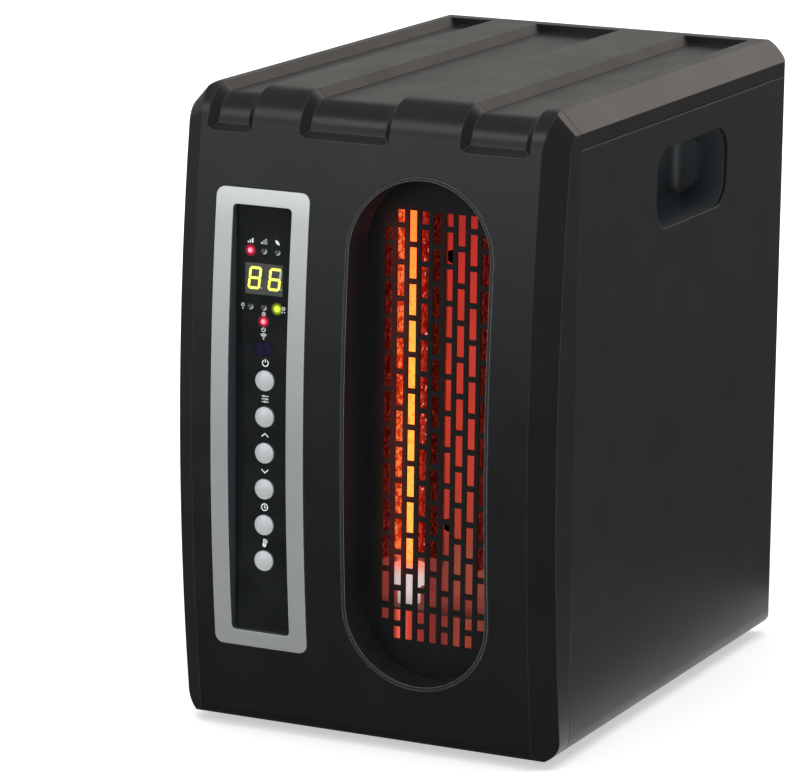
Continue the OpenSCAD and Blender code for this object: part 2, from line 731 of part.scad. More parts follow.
module outlet_shroud() color("#242424") in_body() {
    intersection() {
        along_y(-70, -grille_y - 0.1) translate([outlet_x, outlet_z]) difference() {
            stadium(outlet_w + 2 * shroud_t, outlet_h + 2 * shroud_t);
            stadium(outlet_w, outlet_h);
        }
        bow_skin(-60, 0);
    }
    along_y(-grille_y - shroud_flange_t - 0.1, -grille_y - 0.1) translate([outlet_x, outlet_z]) difference() {
        stadium(outlet_w + 2 * shroud_t + 2 * shroud_flange, outlet_h + 2 * shroud_t + 2 * shroud_flange);
        stadium(outlet_w + 2 * shroud_t - 1, outlet_h + 2 * shroud_t - 1);
    }
}
// Half height of the slotted field, lower in the outermost columns
slot_field = (slot_rows * slot_pitch_z - (slot_pitch_z - slot_h)) / 2;
slot_short = 11.6;
module grille_slots() for (c = [-slot_cols:slot_cols]) {
    stagger = abs(c) % 2;
    reach = abs(c) == slot_cols && slot_cols > 3 ? slot_field - slot_short : slot_field;
    rows = slot_rows / 2;
    for (k = [-rows:rows - 1 + stagger]) {
        mid = (k + (1 - stagger) / 2) * slot_pitch_z;
        low = max(mid - slot_h / 2, -reach);
        high = min(mid + slot_h / 2, reach);
        if (high - low > 2) translate([c * slot_pitch_x - slot_w / 2, low]) square([slot_w, high - low]);
    }
}
module outlet_grille() color("#161616") in_body() along_y(-grille_y, grille_t - grille_y)
    translate([outlet_x, outlet_z]) difference() {
        stadium(outlet_w + 2 * shroud_t + 2 * shroud_flange, outlet_h + 2 * shroud_t + 2 * shroud_flange);
        grille_slots();
    }

// Finger recess behind a side panel, with a curve from its lower lip and swept inner corners
cup_face = half_w - wall_t - 0.1;
module cup_profile(grow) {
    inner = half_w - handle_d - grow;
    low = handle_z - handle_h / 2 - grow;
    high = handle_z + handle_h / 2 + grow;
    scoop = 14 + grow;
    roof = 7 + grow;
    difference() {
        translate([inner, low]) square([half_w - inner, high - low]);
        translate([inner + scoop, low + scoop]) rotate(180) corner_cut(scoop);
        translate([inner + roof, high - roof]) mirror([1, 0]) corner_cut(roof);
    }
}
module cup_plan(grow) {
    inner = half_w - handle_d - grow;
    curve = handle_curve + grow;
    difference() {
        translate([inner, handle_y - handle_l / 2 - grow]) square([half_w - inner, handle_l + 2 * grow]);
        for (s = [0, 1]) translate([inner + curve, handle_y]) mirror([0, s])
            translate([0, handle_l / 2 + grow - curve]) mirror([1, 0]) corner_cut(curve);
    }
}
module cup_form(grow) intersection() {
    along_y(handle_y - handle_l, handle_y + handle_l) cup_profile(grow);
    along_x(0, half_w) translate([handle_y, handle_z])
        rounded_rect(handle_l + 2 * grow, handle_h + 2 * grow, handle_r + grow);
    translate([0, 0, handle_z - handle_h]) linear_extrude(2 * handle_h) cup_plan(grow);
}
module handle_cup() difference() {
    union() {
        intersection() {
            cup_form(cup_t);
            cube([cup_face, cabinet_d, body_h]);
        }
        along_x(cup_face - cup_t, cup_face) translate([handle_y, handle_z])
            rounded_rect(handle_l + 2 * cup_t + 14, handle_h + 2 * cup_t + 14, handle_r + 8);
    }
    cup_form(0);
}
module right_handle_cup() color("#262728") in_body() handle_cup();
module left_handle_cup() color("#262728") in_body() mirror([1, 0, 0]) handle_cup();

module at_chamber() translate([outlet_x, 0, chamber_z]) children();
module heating_chamber() color("#a9a6a0") in_body() at_chamber() difference() {
    union() {
        translate([-chamber_w / 2, chamber_front, 0]) cube([chamber_w, chamber_d, chamber_h]);
        translate([-chamber_w / 2 - 6, chamber_front, -6])
            cube([chamber_w + 12, sheet_t, chamber_h + 12]);
        // Tabs for the two screws
        translate([-7, chamber_front, outlet_z - chamber_z - chamber_screw_up - 4])
            cube([14, sheet_t, 2 * chamber_screw_up + 8]);
    }
    translate([sheet_t - chamber_w / 2, chamber_front - 1, sheet_t])
        cube([chamber_w - 2 * sheet_t, chamber_d + 1 - sheet_t, chamber_h - 2 * sheet_t]);
    for (s = [-1, 1]) along_y(chamber_front - 1, chamber_front + 2)
        translate([0, outlet_z - chamber_z + s * chamber_screw_up]) circle(screw_r + 0.2);
    // Air slots behind the reflectors, and two fixing holes between them
    for (s = [-1, 1], k = [-1, 0, 1]) along_y(chamber_back - 3, chamber_back + 2)
        translate([s * tube_pitch / 2 - slot_shift, chamber_h / 2 + k * 36]) square([16, 30], center = true);
    for (z = chamber_holes_z) along_y(chamber_back - 3, chamber_back + 2)
        translate([chamber_holes_x, z]) circle(chamber_hole_r);
}
slot_shift = 5;
chamber_hole_r = 4.2;
chamber_holes_x = -22.2;
chamber_holes_z = [79.5, 247.4];
module chamber_stand() color("#8f8f8c") in_body() at_chamber() {
    low = wall_t + 0.2 - chamber_z;
    for (y = [chamber_front + 10, chamber_back - 22]) difference() {
        translate([-chamber_w / 2, y, low]) cube([chamber_w, 16, -low - 0.1]);
        translate([1.5 - chamber_w / 2, y - 1, low + 1.5]) cube([chamber_w - 3, 15, -low - 3]);
        translate([1.5 - chamber_w / 2 + 20, y - 1, low + 1.5]) cube([chamber_w - 43, 18, -low - 3]);
    }
}
module reflector() intersection() {
    difference() {
        cylinder(r = reflector_r + sheet_t, h = tube_l);
        translate([0, 0, -1]) cylinder(r = reflector_r, h = tube_l + 2);
    }
    translate([-reflector_r - 2, 0, -1]) cube([2 * reflector_r + 4, reflector_r + 2, tube_l + 2]);
}
module at_tube(s) translate([outlet_x + s * tube_pitch / 2, tube_y, tube_low]) children();
module left_reflector() color("#b9b4aa") in_body() at_tube(-1) reflector();
module right_reflector() color("#b9b4aa") in_body() at_tube(1) reflector();
module quartz_tube() translate([0, 0, -cap_seat]) difference() {
    cylinder(r = tube_r, h = tube_l + 2 * cap_seat);
    translate([0, 0, -1]) cylinder(r = tube_r - tube_wall, h = tube_l + 2 * cap_seat + 2);
}
module left_quartz_tube() color("#ffd9a0") in_body() at_tube(-1) quartz_tube();
module right_quartz_tube() color("#ffd9a0") in_body() at_tube(1) quartz_tube();
// Heating coil: a wire tube of six sides swept along a helix
coil_r = 2.6;
wire_r = 0.55;
coil_sides = 6;
coil_steps = 8;
function coil_point(i, j, pitch) = let (
    a = i * 360 / coil_steps, b = j * 360 / coil_sides,
    tilt = atan2(pitch, 2 * PI * coil_r),
    rr = coil_r + wire_r * cos(b)
) [
    rr * cos(a) + wire_r * sin(b) * sin(tilt) * sin(a),
    rr * sin(a) - wire_r * sin(b) * sin(tilt) * cos(a),
    i * pitch / coil_steps + wire_r * sin(b) * cos(tilt)
];
module heating_coil() {
    pitch = (tube_l - 4) / coil_turns;
    rings = coil_turns * coil_steps;
    points = [for (i = [0:rings], j = [0:coil_sides - 1]) coil_point(i, j, pitch)];
    sides = [for (i = [0:rings - 1], j = [0:coil_sides - 1], t = [0, 1]) let (
        k = (j + 1) % coil_sides, a = i * coil_sides, b = a + coil_sides
    ) t == 0 ? [a + j, b + j, a + k] : [a + k, b + j, b + k]];
    last = rings * coil_sides;
    ends = [for (j = [1:coil_sides - 2]) each [[0, j, j + 1], [last, last + j + 1, last + j]]];
    translate([0, 0, 2]) polyhedron(points, concat(sides, ends));
}
module left_heating_coil() color("#ff8a1e") in_body() at_tube(-1) heating_coil();
module right_heating_coil() color("#ff8a1e") in_body() at_tube(1) heating_coil();
module ceramic_cap() difference() {
    union() {
        cylinder(r = cap_r, h = cap_l);
        translate([0, 0, cap_l - collar_l]) cylinder(r = collar_r, h = collar_l - 1);
        translate([0, 0, cap_l - 1]) cylinder(r1 = collar_r, r2 = collar_r - 1, h = 1);
        translate([0, 0, -neck_l]) cylinder(r = neck_r, h = neck_l + 1);
    }
    translate([0, 0, cap_l - cap_seat - 0.2]) cylinder(r = tube_r + 0.1, h = cap_seat + 1);
    translate([0, 0, -neck_l - 1]) cylinder(r = 1.5, h = cap_l);
}
module ceramic_caps() color("#e9e2dc") in_body() for (s = [-1, 1]) at_tube(s) {
    translate([0, 0, -cap_l]) ceramic_cap();
    translate([0, 0, tube_l + cap_l]) mirror([0, 0, 1]) ceramic_cap();
}
bracket_t = 1.5;
module tube_bracket() {
    back = chamber_back - sheet_t - 0.1;
    difference() {
        union() {
            translate([sheet_t + 0.1 - chamber_w / 2, tube_y - 14, 0])
                cube([chamber_w - 2 * sheet_t - 0.2, back - tube_y + 14, bracket_t]);
            translate([sheet_t + 0.1 - chamber_w / 2, back - bracket_t, 1 - chamber_room])
                cube([chamber_w - 2 * sheet_t - 0.2, bracket_t, chamber_room]);
        }
        for (s = [-1, 1]) translate([s * tube_pitch / 2, tube_y, -1]) cylinder(r = neck_r + 0.2, h = 4);
    }
}
module lower_tube_bracket() color("#9b9890") in_body()
    translate([outlet_x, 0, tube_low - cap_l - 0.1 - bracket_t]) tube_bracket();
module upper_tube_bracket() color("#9b9890") in_body()
    translate([outlet_x, 0, tube_high + cap_l + 0.1 + bracket_t]) mirror([0, 0, 1]) tube_bracket();
module air_duct() color("#a9a6a0") in_body() translate([outlet_x, 0, outlet_z]) difference() {
    union() {
        along_y(duct_front, duct_back) square(fan_w, center = true);
        along_y(duct_front, duct_front + sheet_t) square([chamber_w - 4, fan_w + 16], center = true);
    }
    along_y(duct_front - 1, duct_back + 1) square([chamber_w - 8, fan_w - 2 * sheet_t], center = true);
    along_y(duct_front + 8, duct_back + 1) square(fan_w - 2 * sheet_t, center = true);
}
module fan_frame() color("#232323") in_body() translate([outlet_x, 0, outlet_z]) {
    difference() {
        along_y(fan_front, fan_back) rounded_rect(fan_w, fan_w, 5);
        along_y(fan_front - 1, fan_back + 1) circle(fan_bore / 2);
        for (sx = [-1, 1], sz = [-1, 1]) along_y(fan_front - 1, fan_back + 1)
            translate([sx * (fan_w / 2 - 7.5), sz * (fan_w / 2 - 7.5)]) circle(2.2);
        // Waist between the two screwed flanges
        for (a = [0, 90, 180, 270]) rotate([0, a, 0]) along_y(fan_front + 6, fan_back - 6)
            translate([fan_w / 2, 0]) square([2, fan_w - 40], center = true);
    }
    // Struts that carry the motor
    for (a = [45, 135, 225, 315]) rotate([0, a, 0]) translate([motor_r + 0.1, fan_back - 4, -3])
        cube([fan_bore / 2 - motor_r, 4, 6]);
}
module fan_motor() color("#3a3b3c") in_body() translate([outlet_x, 0, outlet_z]) difference() {
    along_y(motor_front, fan_back) circle(motor_r);
    along_y(motor_front - 1, fan_back - 2) circle(shaft_r + shaft_gap);
}
// One blade: a patch of a cylindrical skin between hub and tip, pitched across the wheel
blade_pitch = 42;
blade_skin = 1.8;
blade_curve = 47;
module fan_blade() {
    mid = wheel_front + wheel_l / 2;
    intersection() {
        along_y(wheel_front + 1, wheel_front + wheel_l - 1) difference() {
            circle(fan_bore / 2 - tip_gap);
            circle(hub_r - 1.5);
        }
        translate([hub_r - 4, wheel_front - 5, -34]) cube([fan_bore, wheel_l + 10, 68]);
        translate([0, mid - blade_curve * sin(blade_pitch), blade_curve * cos(blade_pitch)])
            rotate([0, 90, 0]) difference() {
                cylinder(r = blade_curve + blade_skin / 2, h = fan_bore);
                translate([0, 0, -1]) cylinder(r = blade_curve - blade_skin / 2, h = fan_bore + 2);
            }
    }
}
module fan_wheel() color("#1f2021") in_body() translate([outlet_x, 0, outlet_z]) {
    difference() {
        along_y(wheel_front, wheel_front + wheel_l) circle(hub_r);
        along_y(wheel_front + 3, wheel_front + wheel_l + 1) circle(hub_r - 2);
    }
    along_y(wheel_front + 1, fan_back - 4) circle(shaft_r);
    for (i = [0:blades - 1]) rotate([0, i * 360 / blades, 0]) fan_blade();
}
module thermal_cutout() color("#b8b2a4") in_body() {
    x = outlet_x - chamber_w / 2 - 0.1;
    y = 36;
    z = outlet_z + 90;
    translate([x - 9, y, z]) rotate([0, 90, 0]) cylinder(r = 8, h = 9);
    translate([x - 1, y - 15, z - 5]) cube([1, 30, 10]);
    for (s = [-1, 1]) translate([x - 15, y + s * 4 - 0.4, z - 3]) cube([7, 0.8, 6]);
}
board_x = wall_t + 9;
module power_board() color("#2a6a3c") in_body() translate([board_x - half_w, 0, 0]) {
    difference() {
        translate([0, 60, 60]) cube([board_t, 120, 150]);
        standoff_places() translate([-1, 0, 0]) rotate([0, 90, 0]) cylinder(r = 1.7, h = 4);
    }
    // Relays, mains filter, transformer and terminal strip
    for (i = [0:2]) translate([board_t, 72 + i * 30, 150]) cube([16, 20, 28]);
    translate([board_t, 74, 90]) cube([28, 36, 40]);
    translate([board_t, 126, 92]) cube([22, 30, 34]);
    translate([board_t, 80, 66]) cube([12, 70, 12]);
}
module standoff_places() for (y = [66, 174], z = [66, 204]) translate([0, y, z]) children();
module board_standoffs() color("#d8d8d0") in_body() standoff_places()
    translate([wall_t + 0.1 - half_w, 0, 0]) rotate([0, 90, 0]) {
        cylinder(r = 4, h = board_x - wall_t - 0.2);
        cylinder(r = 1.5, h = board_x - wall_t + board_t + 1);
    }
module tip_over_switch() color("#3d3d40") in_body() translate([-60, 110, wall_t + 0.1]) {
    translate([-18, 0, 0]) cube([36, 24, 30]);
    translate([-28, 4, 0]) cube([56, 16, 2.4]);
    for (s = [-1, 1]) translate([s * 8 - 0.4, 9, 29]) cube([0.8, 6, 9]);
}

module at_intake() translate([0, 0, intake_z]) children();
module rear_panel() color("#272727") in_body() difference() {
    union() {
        // Plate behind the rear flange, with a pocket let into it for the filter
        along_y(plate_front, plate_back) difference() {
            intersection() {
                translate([-half_w, 2 * wall_t + fit])
                    square([body_w, body_h - channel_d - 3 * wall_t - 14]);
                housing_section(wall_t + fit);
            }
            translate([0, intake_z]) square([intake_w, intake_h], center = true);
        }
        at_intake() along_y(pocket_floor - grid_t, plate_back) difference() {
            square([intake_w + 2 * pocket_t, intake_h + 2 * pocket_t], center = true);
            square([intake_w, intake_h], center = true);
        }
        at_intake() along_y(pocket_floor - grid_t, pocket_floor) intersection() {
            square([intake_w + 1, intake_h + 1], center = true);
            union() {
                for (i = [1:grid_cells_x - 1]) translate([(i / grid_cells_x - 0.5) * intake_w, 0])
                    square([3, intake_h + 1], center = true);
                for (i = [1:grid_cells_z - 1]) translate([0, (i / grid_cells_z - 0.5) * intake_h])
                    square([intake_w + 1, 3], center = true);
            }
        }
    }
    translate([socket_x, 0, socket_z]) along_y(plate_front - 1, plate_back + 1)
        square([switch_w + 2 * fit, switch_h + 2 * fit], center = true);
    translate([-socket_x, 0, socket_z]) along_y(plate_front - 1, plate_back + 1) circle(inlet_r + fit);
    rear_screw_places() along_y(plate_front - 1, plate_back + 1) circle(1.6);
}
// Countersunk screws that hold the rear panel to the flanges of the side panels
screw_head = 1.4;
module rear_screw_places() for (s = [-1, 1], z = [30, body_h / 2, split_z - 20])
    translate([s * (half_w - rear_flange / 2 - 0.5), 0, z]) children();
module rear_screw(grow) {
    along_y(plate_front - 4, cabinet_d - screw_head) circle(screw_r + grow);
    translate([0, cabinet_d - screw_head - 0.1, 0]) rotate([-90, 0, 0])
        cylinder(r1 = screw_r + grow, r2 = 2 * screw_r + grow, h = screw_head);
}
module rear_screws() color("#5a5a5a") in_body() rear_screw_places() difference() {
    rear_screw(0);
    cross_recess(cabinet_d - 0.9);
}
module filter_cover() color("#2a2a2a") in_body() at_intake() {
    w = intake_w - 2 * cover_gap;
    h = intake_h - 2 * cover_gap;
    rim = 7;
    along_y(cover_front, cover_back) difference() {
        square([w, h], center = true);
        square([w - 2 * rim, h - 2 * rim], center = true);
        // Notches for the fingers that pull the cover out
        for (s = [-1, 1]) translate([0, s * (h / 2 + 12)]) circle(16);
    }
    step = (h - 2 * rim) / slats;
    for (i = [0:slats - 1]) translate([0, cover_front + cover_t / 2, (i + 0.5) * step - h / 2 + rim])
        rotate([-35, 0, 0]) cube([w - 2 * rim + 2, cover_t - 1.6, 2], center = true);
    for (x = [-w / 6, w / 6]) along_y(cover_front + 0.6, cover_front + 2.6)
        translate([x, 0]) square([3, h - 2 * rim + 2], center = true);
}
module air_filter() color("#565a5c") in_body() at_intake() along_y(filter_front, filter_back)
    square([intake_w - 4 * cover_gap, intake_h - 4 * cover_gap], center = true);
switch_wall = 1.2;
module switch_housing() color("#1a1a1a") in_body() translate([socket_x, 0, socket_z]) difference() {
    union() {
        along_y(plate_back - 18, plate_back + 1) square([switch_w, switch_h], center = true);
        along_y(plate_back, plate_back + 1.6) square([switch_w + 4, switch_h + 4], center = true);
    }
    along_y(plate_back - 12, plate_back + 3)
        square([switch_w - 2 * switch_wall, switch_h - 2 * switch_wall], center = true);
}
rocker_w = switch_w - 2 * switch_wall - 2 * fit;
rocker_half = switch_h / 2 - switch_wall - 1.1;
module power_rocker() color("#303030") in_body() translate([socket_x, rocker_pivot, socket_z])
    rotate([-rocker_swing / 2, 0, 0]) along_x(-rocker_w / 2, rocker_w / 2) {
        polygon([
            [0, -rocker_half + 0.8], [4.6, -rocker_half], [3.2, 0],
            [4.6, rocker_half], [0, rocker_half - 0.8]
        ]);
        circle(2.8);
    }
inlet_r = 7;
module cord_inlet() color("#1b1b1b") in_body() translate([-socket_x, 0, socket_z]) difference() {
    union() {
        along_y(plate_front - 6, plate_back + 1) circle(inlet_r);
        along_y(plate_back, plate_back + 2) circle(inlet_r + 3);
        along_y(plate_front - 4.5, plate_front - 0.1) circle(inlet_r + 3, $fn = 6);
    }
    along_y(plate_front - 8, plate_back + 4) circle(inlet_bore / 2);
}

top_cover();
left_side_panel();
right_side_panel();
base_plate();
rear_panel();
front_bezel();
outlet_shroud();
outlet_grille();
trim_frame();
control_fascia();
control_tray();
control_board();
display_module();
indicator_lamps();
receiver_window();
key_switches();
button_power();
button_mode();
button_up();
button_down();
button_timer();
button_units();
left_handle_cup();
right_handle_cup();
heating_chamber();
chamber_stand();
left_reflector();
right_reflector();
left_quartz_tube();
right_quartz_tube();
left_heating_coil();
right_heating_coil();
ceramic_caps();
lower_tube_bracket();
upper_tube_bracket();
air_duct();
fan_frame();
fan_motor();
fan_wheel();
thermal_cutout();
power_board();
board_standoffs();
tip_over_switch();
filter_cover();
air_filter();
switch_housing();
power_rocker();
cord_inlet();
feet();
foot_screws();
rear_screws();
bezel_screws();
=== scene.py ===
import math

import bmesh
import bpy
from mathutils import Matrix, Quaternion, Vector, noise


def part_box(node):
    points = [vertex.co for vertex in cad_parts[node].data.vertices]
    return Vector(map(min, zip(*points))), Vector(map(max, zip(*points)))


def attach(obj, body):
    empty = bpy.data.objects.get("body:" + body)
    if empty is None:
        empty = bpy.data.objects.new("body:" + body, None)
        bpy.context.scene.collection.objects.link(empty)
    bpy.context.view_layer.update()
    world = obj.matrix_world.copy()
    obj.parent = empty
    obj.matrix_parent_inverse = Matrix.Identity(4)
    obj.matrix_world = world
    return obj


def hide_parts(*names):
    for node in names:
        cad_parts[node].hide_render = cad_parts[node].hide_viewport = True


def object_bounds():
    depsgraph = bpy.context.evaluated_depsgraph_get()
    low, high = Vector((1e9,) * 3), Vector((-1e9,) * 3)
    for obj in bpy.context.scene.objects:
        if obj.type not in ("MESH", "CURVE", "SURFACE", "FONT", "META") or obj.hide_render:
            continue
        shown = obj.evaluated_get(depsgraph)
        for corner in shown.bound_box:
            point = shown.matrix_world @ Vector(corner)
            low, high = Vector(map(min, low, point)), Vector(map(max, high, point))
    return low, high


bl_info = {
    "name": "Cabinet infrared heater",
    "version": (1, 0, 0),
    "blender": (4, 5, 0),
    "location": "View3D > Sidebar > Heater",
    "description": "Finishes, glow, panel marks and stage for a compact cabinet infrared heater",
    "category": "Object",
}

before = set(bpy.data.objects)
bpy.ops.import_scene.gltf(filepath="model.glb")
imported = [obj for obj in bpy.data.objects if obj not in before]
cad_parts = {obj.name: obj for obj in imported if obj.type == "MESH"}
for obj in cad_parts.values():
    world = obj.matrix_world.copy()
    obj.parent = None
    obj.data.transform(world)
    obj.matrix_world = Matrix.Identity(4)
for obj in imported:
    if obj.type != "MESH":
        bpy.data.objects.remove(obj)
cad_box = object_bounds()

MM = 0.001
HOUSING = "housing"
BUTTONS = ("power", "mode", "up", "down", "timer", "units")
LAMPS = ("lamp_high", "lamp_low", "lamp_saving", "lamp_left", "lamp_timer", "lamp_right", "lamp_power")
# Core and rim colours of the lamps that are lit, as they look on a screen
LIT_LAMPS = {
    "lamp_high": ((255, 190, 205), (214, 26, 68)),
    "lamp_power": ((255, 190, 205), (214, 26, 68)),
    "lamp_right": ((232, 246, 110), (178, 206, 30)),
}


def tone(red, green, blue):
    """A colour given as it looks on a screen, from 0 to 255, in linear light."""
    def linear(value):
        value /= 255
        return value / 12.92 if value <= 0.04045 else ((value + 0.055) / 1.055) ** 2.4
    return (linear(red), linear(green), linear(blue))


def scaled(colour, share):
    """A colour made darker or lighter."""
    return tuple(c * share for c in colour)


def middle(node):
    """Centre of a CAD node's box."""
    low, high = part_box(node)
    return (low + high) / 2


# Sizes and colours that a user would change

class HeaterSizes(bpy.types.PropertyGroup):
    """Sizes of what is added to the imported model, in metres."""
    ink: bpy.props.FloatProperty(
        name="Ink", description="Thickness of a printed mark", default=0.05 * MM, unit="LENGTH")
    mark_line: bpy.props.FloatProperty(
        name="Mark line", description="Width of a printed line", default=0.62 * MM, unit="LENGTH")
    mark_size: bpy.props.FloatProperty(
        name="Mark size", description="Height of the mark over a button", default=4.6 * MM, unit="LENGTH")
    digit_height: bpy.props.FloatProperty(
        name="Digit height", description="Height of a display digit", default=13.7 * MM, unit="LENGTH")
    digit_stroke: bpy.props.FloatProperty(
        name="Digit stroke", description="Width of a display segment", default=1.4 * MM, unit="LENGTH")
    dimple: bpy.props.FloatProperty(
        name="Dimple depth", description="Depth of the reflectors' hammered dimples",
        default=0.9 * MM, unit="LENGTH")
    coil_pitch: bpy.props.FloatProperty(
        name="Coil pitch", description="Distance between the turns of a heating coil",
        default=1.1 * MM, unit="LENGTH")
    coil_wire: bpy.props.FloatProperty(
        name="Coil wire", description="Radius of a heating coil's wire", default=0.5 * MM, unit="LENGTH")


class HeaterColours(bpy.types.PropertyGroup):
    """Colours of the finishes, in linear light."""
    body: bpy.props.FloatVectorProperty(
        name="Body", description="Satin black of the mouldings",
        default=tone(17, 18, 19), subtype="COLOR")
    sheet: bpy.props.FloatVectorProperty(
        name="Side sheet", description="Warm black of the side panels",
        default=tone(21, 22, 20), subtype="COLOR")
    trim: bpy.props.FloatVectorProperty(
        name="Trim", description="Satin silver of the panel's trim",
        default=tone(190, 194, 193), subtype="COLOR")
    button: bpy.props.FloatVectorProperty(
        name="Button", description="Pearl silver of the buttons",
        default=tone(205, 208, 209), subtype="COLOR")
    digit: bpy.props.FloatVectorProperty(
        name="Digit", description="Lit display segment", default=tone(230, 232, 84), subtype="COLOR")
    coil: bpy.props.FloatVectorProperty(
        name="Coil", description="Hottest part of a heating coil",
        default=tone(255, 196, 88), subtype="COLOR")
    # Painted light: colour of the tubes' light painted on the chamber's back wall
    glow: bpy.props.FloatVectorProperty(
        name="Glow", description="Painted tube light on the chamber's back wall",
        default=tone(200, 60, 44), subtype="COLOR")


class HeaterView(bpy.types.PropertyGroup):
    """Where the photograph was taken from."""
    azimuth: bpy.props.FloatProperty(
        name="Azimuth", description="Turn to the heater's right",
        default=math.radians(25.642), subtype="ANGLE")
    elevation: bpy.props.FloatProperty(
        name="Elevation", description="Height above the horizon",
        default=math.radians(12.641), subtype="ANGLE")
    roll: bpy.props.FloatProperty(
        name="Roll", description="Turn of the picture", default=math.radians(0.673), subtype="ANGLE")
    distance: bpy.props.FloatProperty(
        name="Distance", description="From the aim to the camera", default=2.737, unit="LENGTH")
    lens: bpy.props.FloatProperty(
        name="Lens", description="Focal length in millimetres", default=206.08, unit="CAMERA")
    aim: bpy.props.FloatVectorProperty(
        name="Aim", description="Point that the camera looks at",
        default=(0.01045, -0.1471, 0.21835), subtype="TRANSLATION", unit="LENGTH")


# Building materials

class Shading:
    """Nodes of a material or a world, added through short helpers."""

    def __init__(self, owner, place):
        owner.use_nodes = True
        self.tree = owner.node_tree
        self.tree.nodes.clear()
        self.place = self.node("ShaderNodeTexCoord").outputs[place]

    def node(self, kind, inputs=None, **settings):
        """Adds a node with its settings, and with a link or a plain value for each input that is named."""
        made = self.tree.nodes.new(kind)
        for key, value in settings.items():
            setattr(made, key, value)
        for socket, value in (inputs or {}).items():
            self.put(made.inputs[socket], value)
        return made

    def put(self, target, value):
        """Links an output to an input, or sets the input to a plain value or colour."""
        if isinstance(value, bpy.types.NodeSocket):
            self.tree.links.new(value, target)
        else:
            target.default_value = (*value, 1.0) if target.type == "RGBA" else value

    def maths(self, operation, first, second=0.0):
        return self.node("ShaderNodeMath", {0: first, 1: second}, operation=operation).outputs[0]

    def times(self, first, second):
        return self.maths("MULTIPLY", first, second)

    def apart(self, first, second):
        """How far two values are from each other."""
        return self.maths("ABSOLUTE", self.maths("SUBTRACT", first, second))

    def split(self):
        """The x, y and z of a point on the surface, in metres."""
        return self.node("ShaderNodeSeparateXYZ", {0: self.place}).outputs

    def stretch(self, factors):
        """Surface coordinates scaled along each axis."""
        return self.node("ShaderNodeMapping", {"Vector": self.place, "Scale": factors}).outputs[0]

    def noise(self, size, detail=2.0, vector=None):
        """Cloudy noise from 0 to 1 whose spots are about one size across."""
        inputs = {"Vector": vector or self.place, "Scale": 1 / size, "Detail": detail}
        return self.node("ShaderNodeTexNoise", inputs).outputs["Fac"]

    def cells(self, size, feature="F1"):
        """Distance within a cell pattern of one size."""
        inputs = {"Vector": self.place, "Scale": 1 / size}
        return self.node("ShaderNodeTexVoronoi", inputs, feature=feature).outputs["Distance"]

    def spread(self, value, start, end, low=0.0, high=1.0):
        """Takes start to low and end to high, with nothing beyond."""
        inputs = {"Value": value, "From Min": start, "From Max": end, "To Min": low, "To Max": high}
        return self.node("ShaderNodeMapRange", inputs).outputs[0]

    def ramp(self, value, stops):
        """A colour ramp from (position, colour) pairs."""
        made = self.node("ShaderNodeValToRGB", {0: value})
        elements = made.color_ramp.elements
        while len(elements) < len(stops):
            elements.new(1.0)
        for element, (position, colour) in zip(elements, stops):
            element.position = position
            element.color = (*colour, 1.0)
        return made.outputs[0]

    def tones(self, value, *stops):
        """A colour ramp from (position, red, green, blue) rows, as the colours look on a screen."""
        return self.ramp(value, [(place, tone(*colour)) for place, *colour in stops])

    def mix(self, share, first, second, blend="MIX"):
        """A mix of two colours, each an output or three numbers."""
        inputs = {0: share, 6: first, 7: second}
        return self.node("ShaderNodeMix", inputs, data_type="RGBA", blend_type=blend).outputs[2]

    def vectors(self, operation, first, second, output=0):
        return self.node("ShaderNodeVectorMath", {0: first, 1: second}, operation=operation).outputs[output]

    def meet(self, first, second):
        """Cosine of the angle between two directions."""
        return self.vectors("DOT_PRODUCT", first, second, "Value")

    def reach(self, point, flat=(1.0, 1.0, 1.0)):
        """Distance of the surface from a point, in metres, with some axes left out of account."""
        away = self.vectors("SUBTRACT", self.place, point)
        return self.vectors("DISTANCE", self.vectors("MULTIPLY", away, flat), (0.0, 0.0, 0.0), "Value")


class Finish(Shading):
    """A material, built up step by step round one Principled shader."""

    def __init__(self, name, colour, roughness, metallic=0.0):
        self.material = bpy.data.materials.new(name)
        super().__init__(self.material, "Object")
        inputs = {"Base Color": colour, "Roughness": roughness, "Metallic": metallic}
        self.shader = self.node("ShaderNodeBsdfPrincipled", inputs)
        self.node("ShaderNodeOutputMaterial", {"Surface": self.shader.outputs["BSDF"]})
        self.normal = None

    def feed(self, socket, value):
        self.put(self.shader.inputs[socket], value)

    def paint(self, colour):
        self.feed("Base Color", colour)

    def soften(self, radius):
        """Rounds the look of sharp edges, and returns a mask of them."""
        self.normal = self.node("ShaderNodeBevel", {"Radius": radius}, samples=4).outputs[0]
        self.feed("Normal", self.normal)
        flat = self.node("ShaderNodeNewGeometry").outputs["Normal"]
        return self.spread(self.meet(self.normal, flat), 0.975, 0.83)

    def bump(self, height, depth, strength=1.0):
        """Raises and lowers the surface by a height from 0 to 1."""
        inputs = {"Height": height, "Strength": strength, "Distance": depth}
        if self.normal:
            inputs["Normal"] = self.normal
        self.normal = self.node("ShaderNodeBump", inputs).outputs[0]
        self.feed("Normal", self.normal)

    def glow(self, colour, strength):
        """Light of its own, with a colour that is an output or three numbers."""
        self.feed("Emission Color", colour)
        self.feed("Emission Strength", strength)


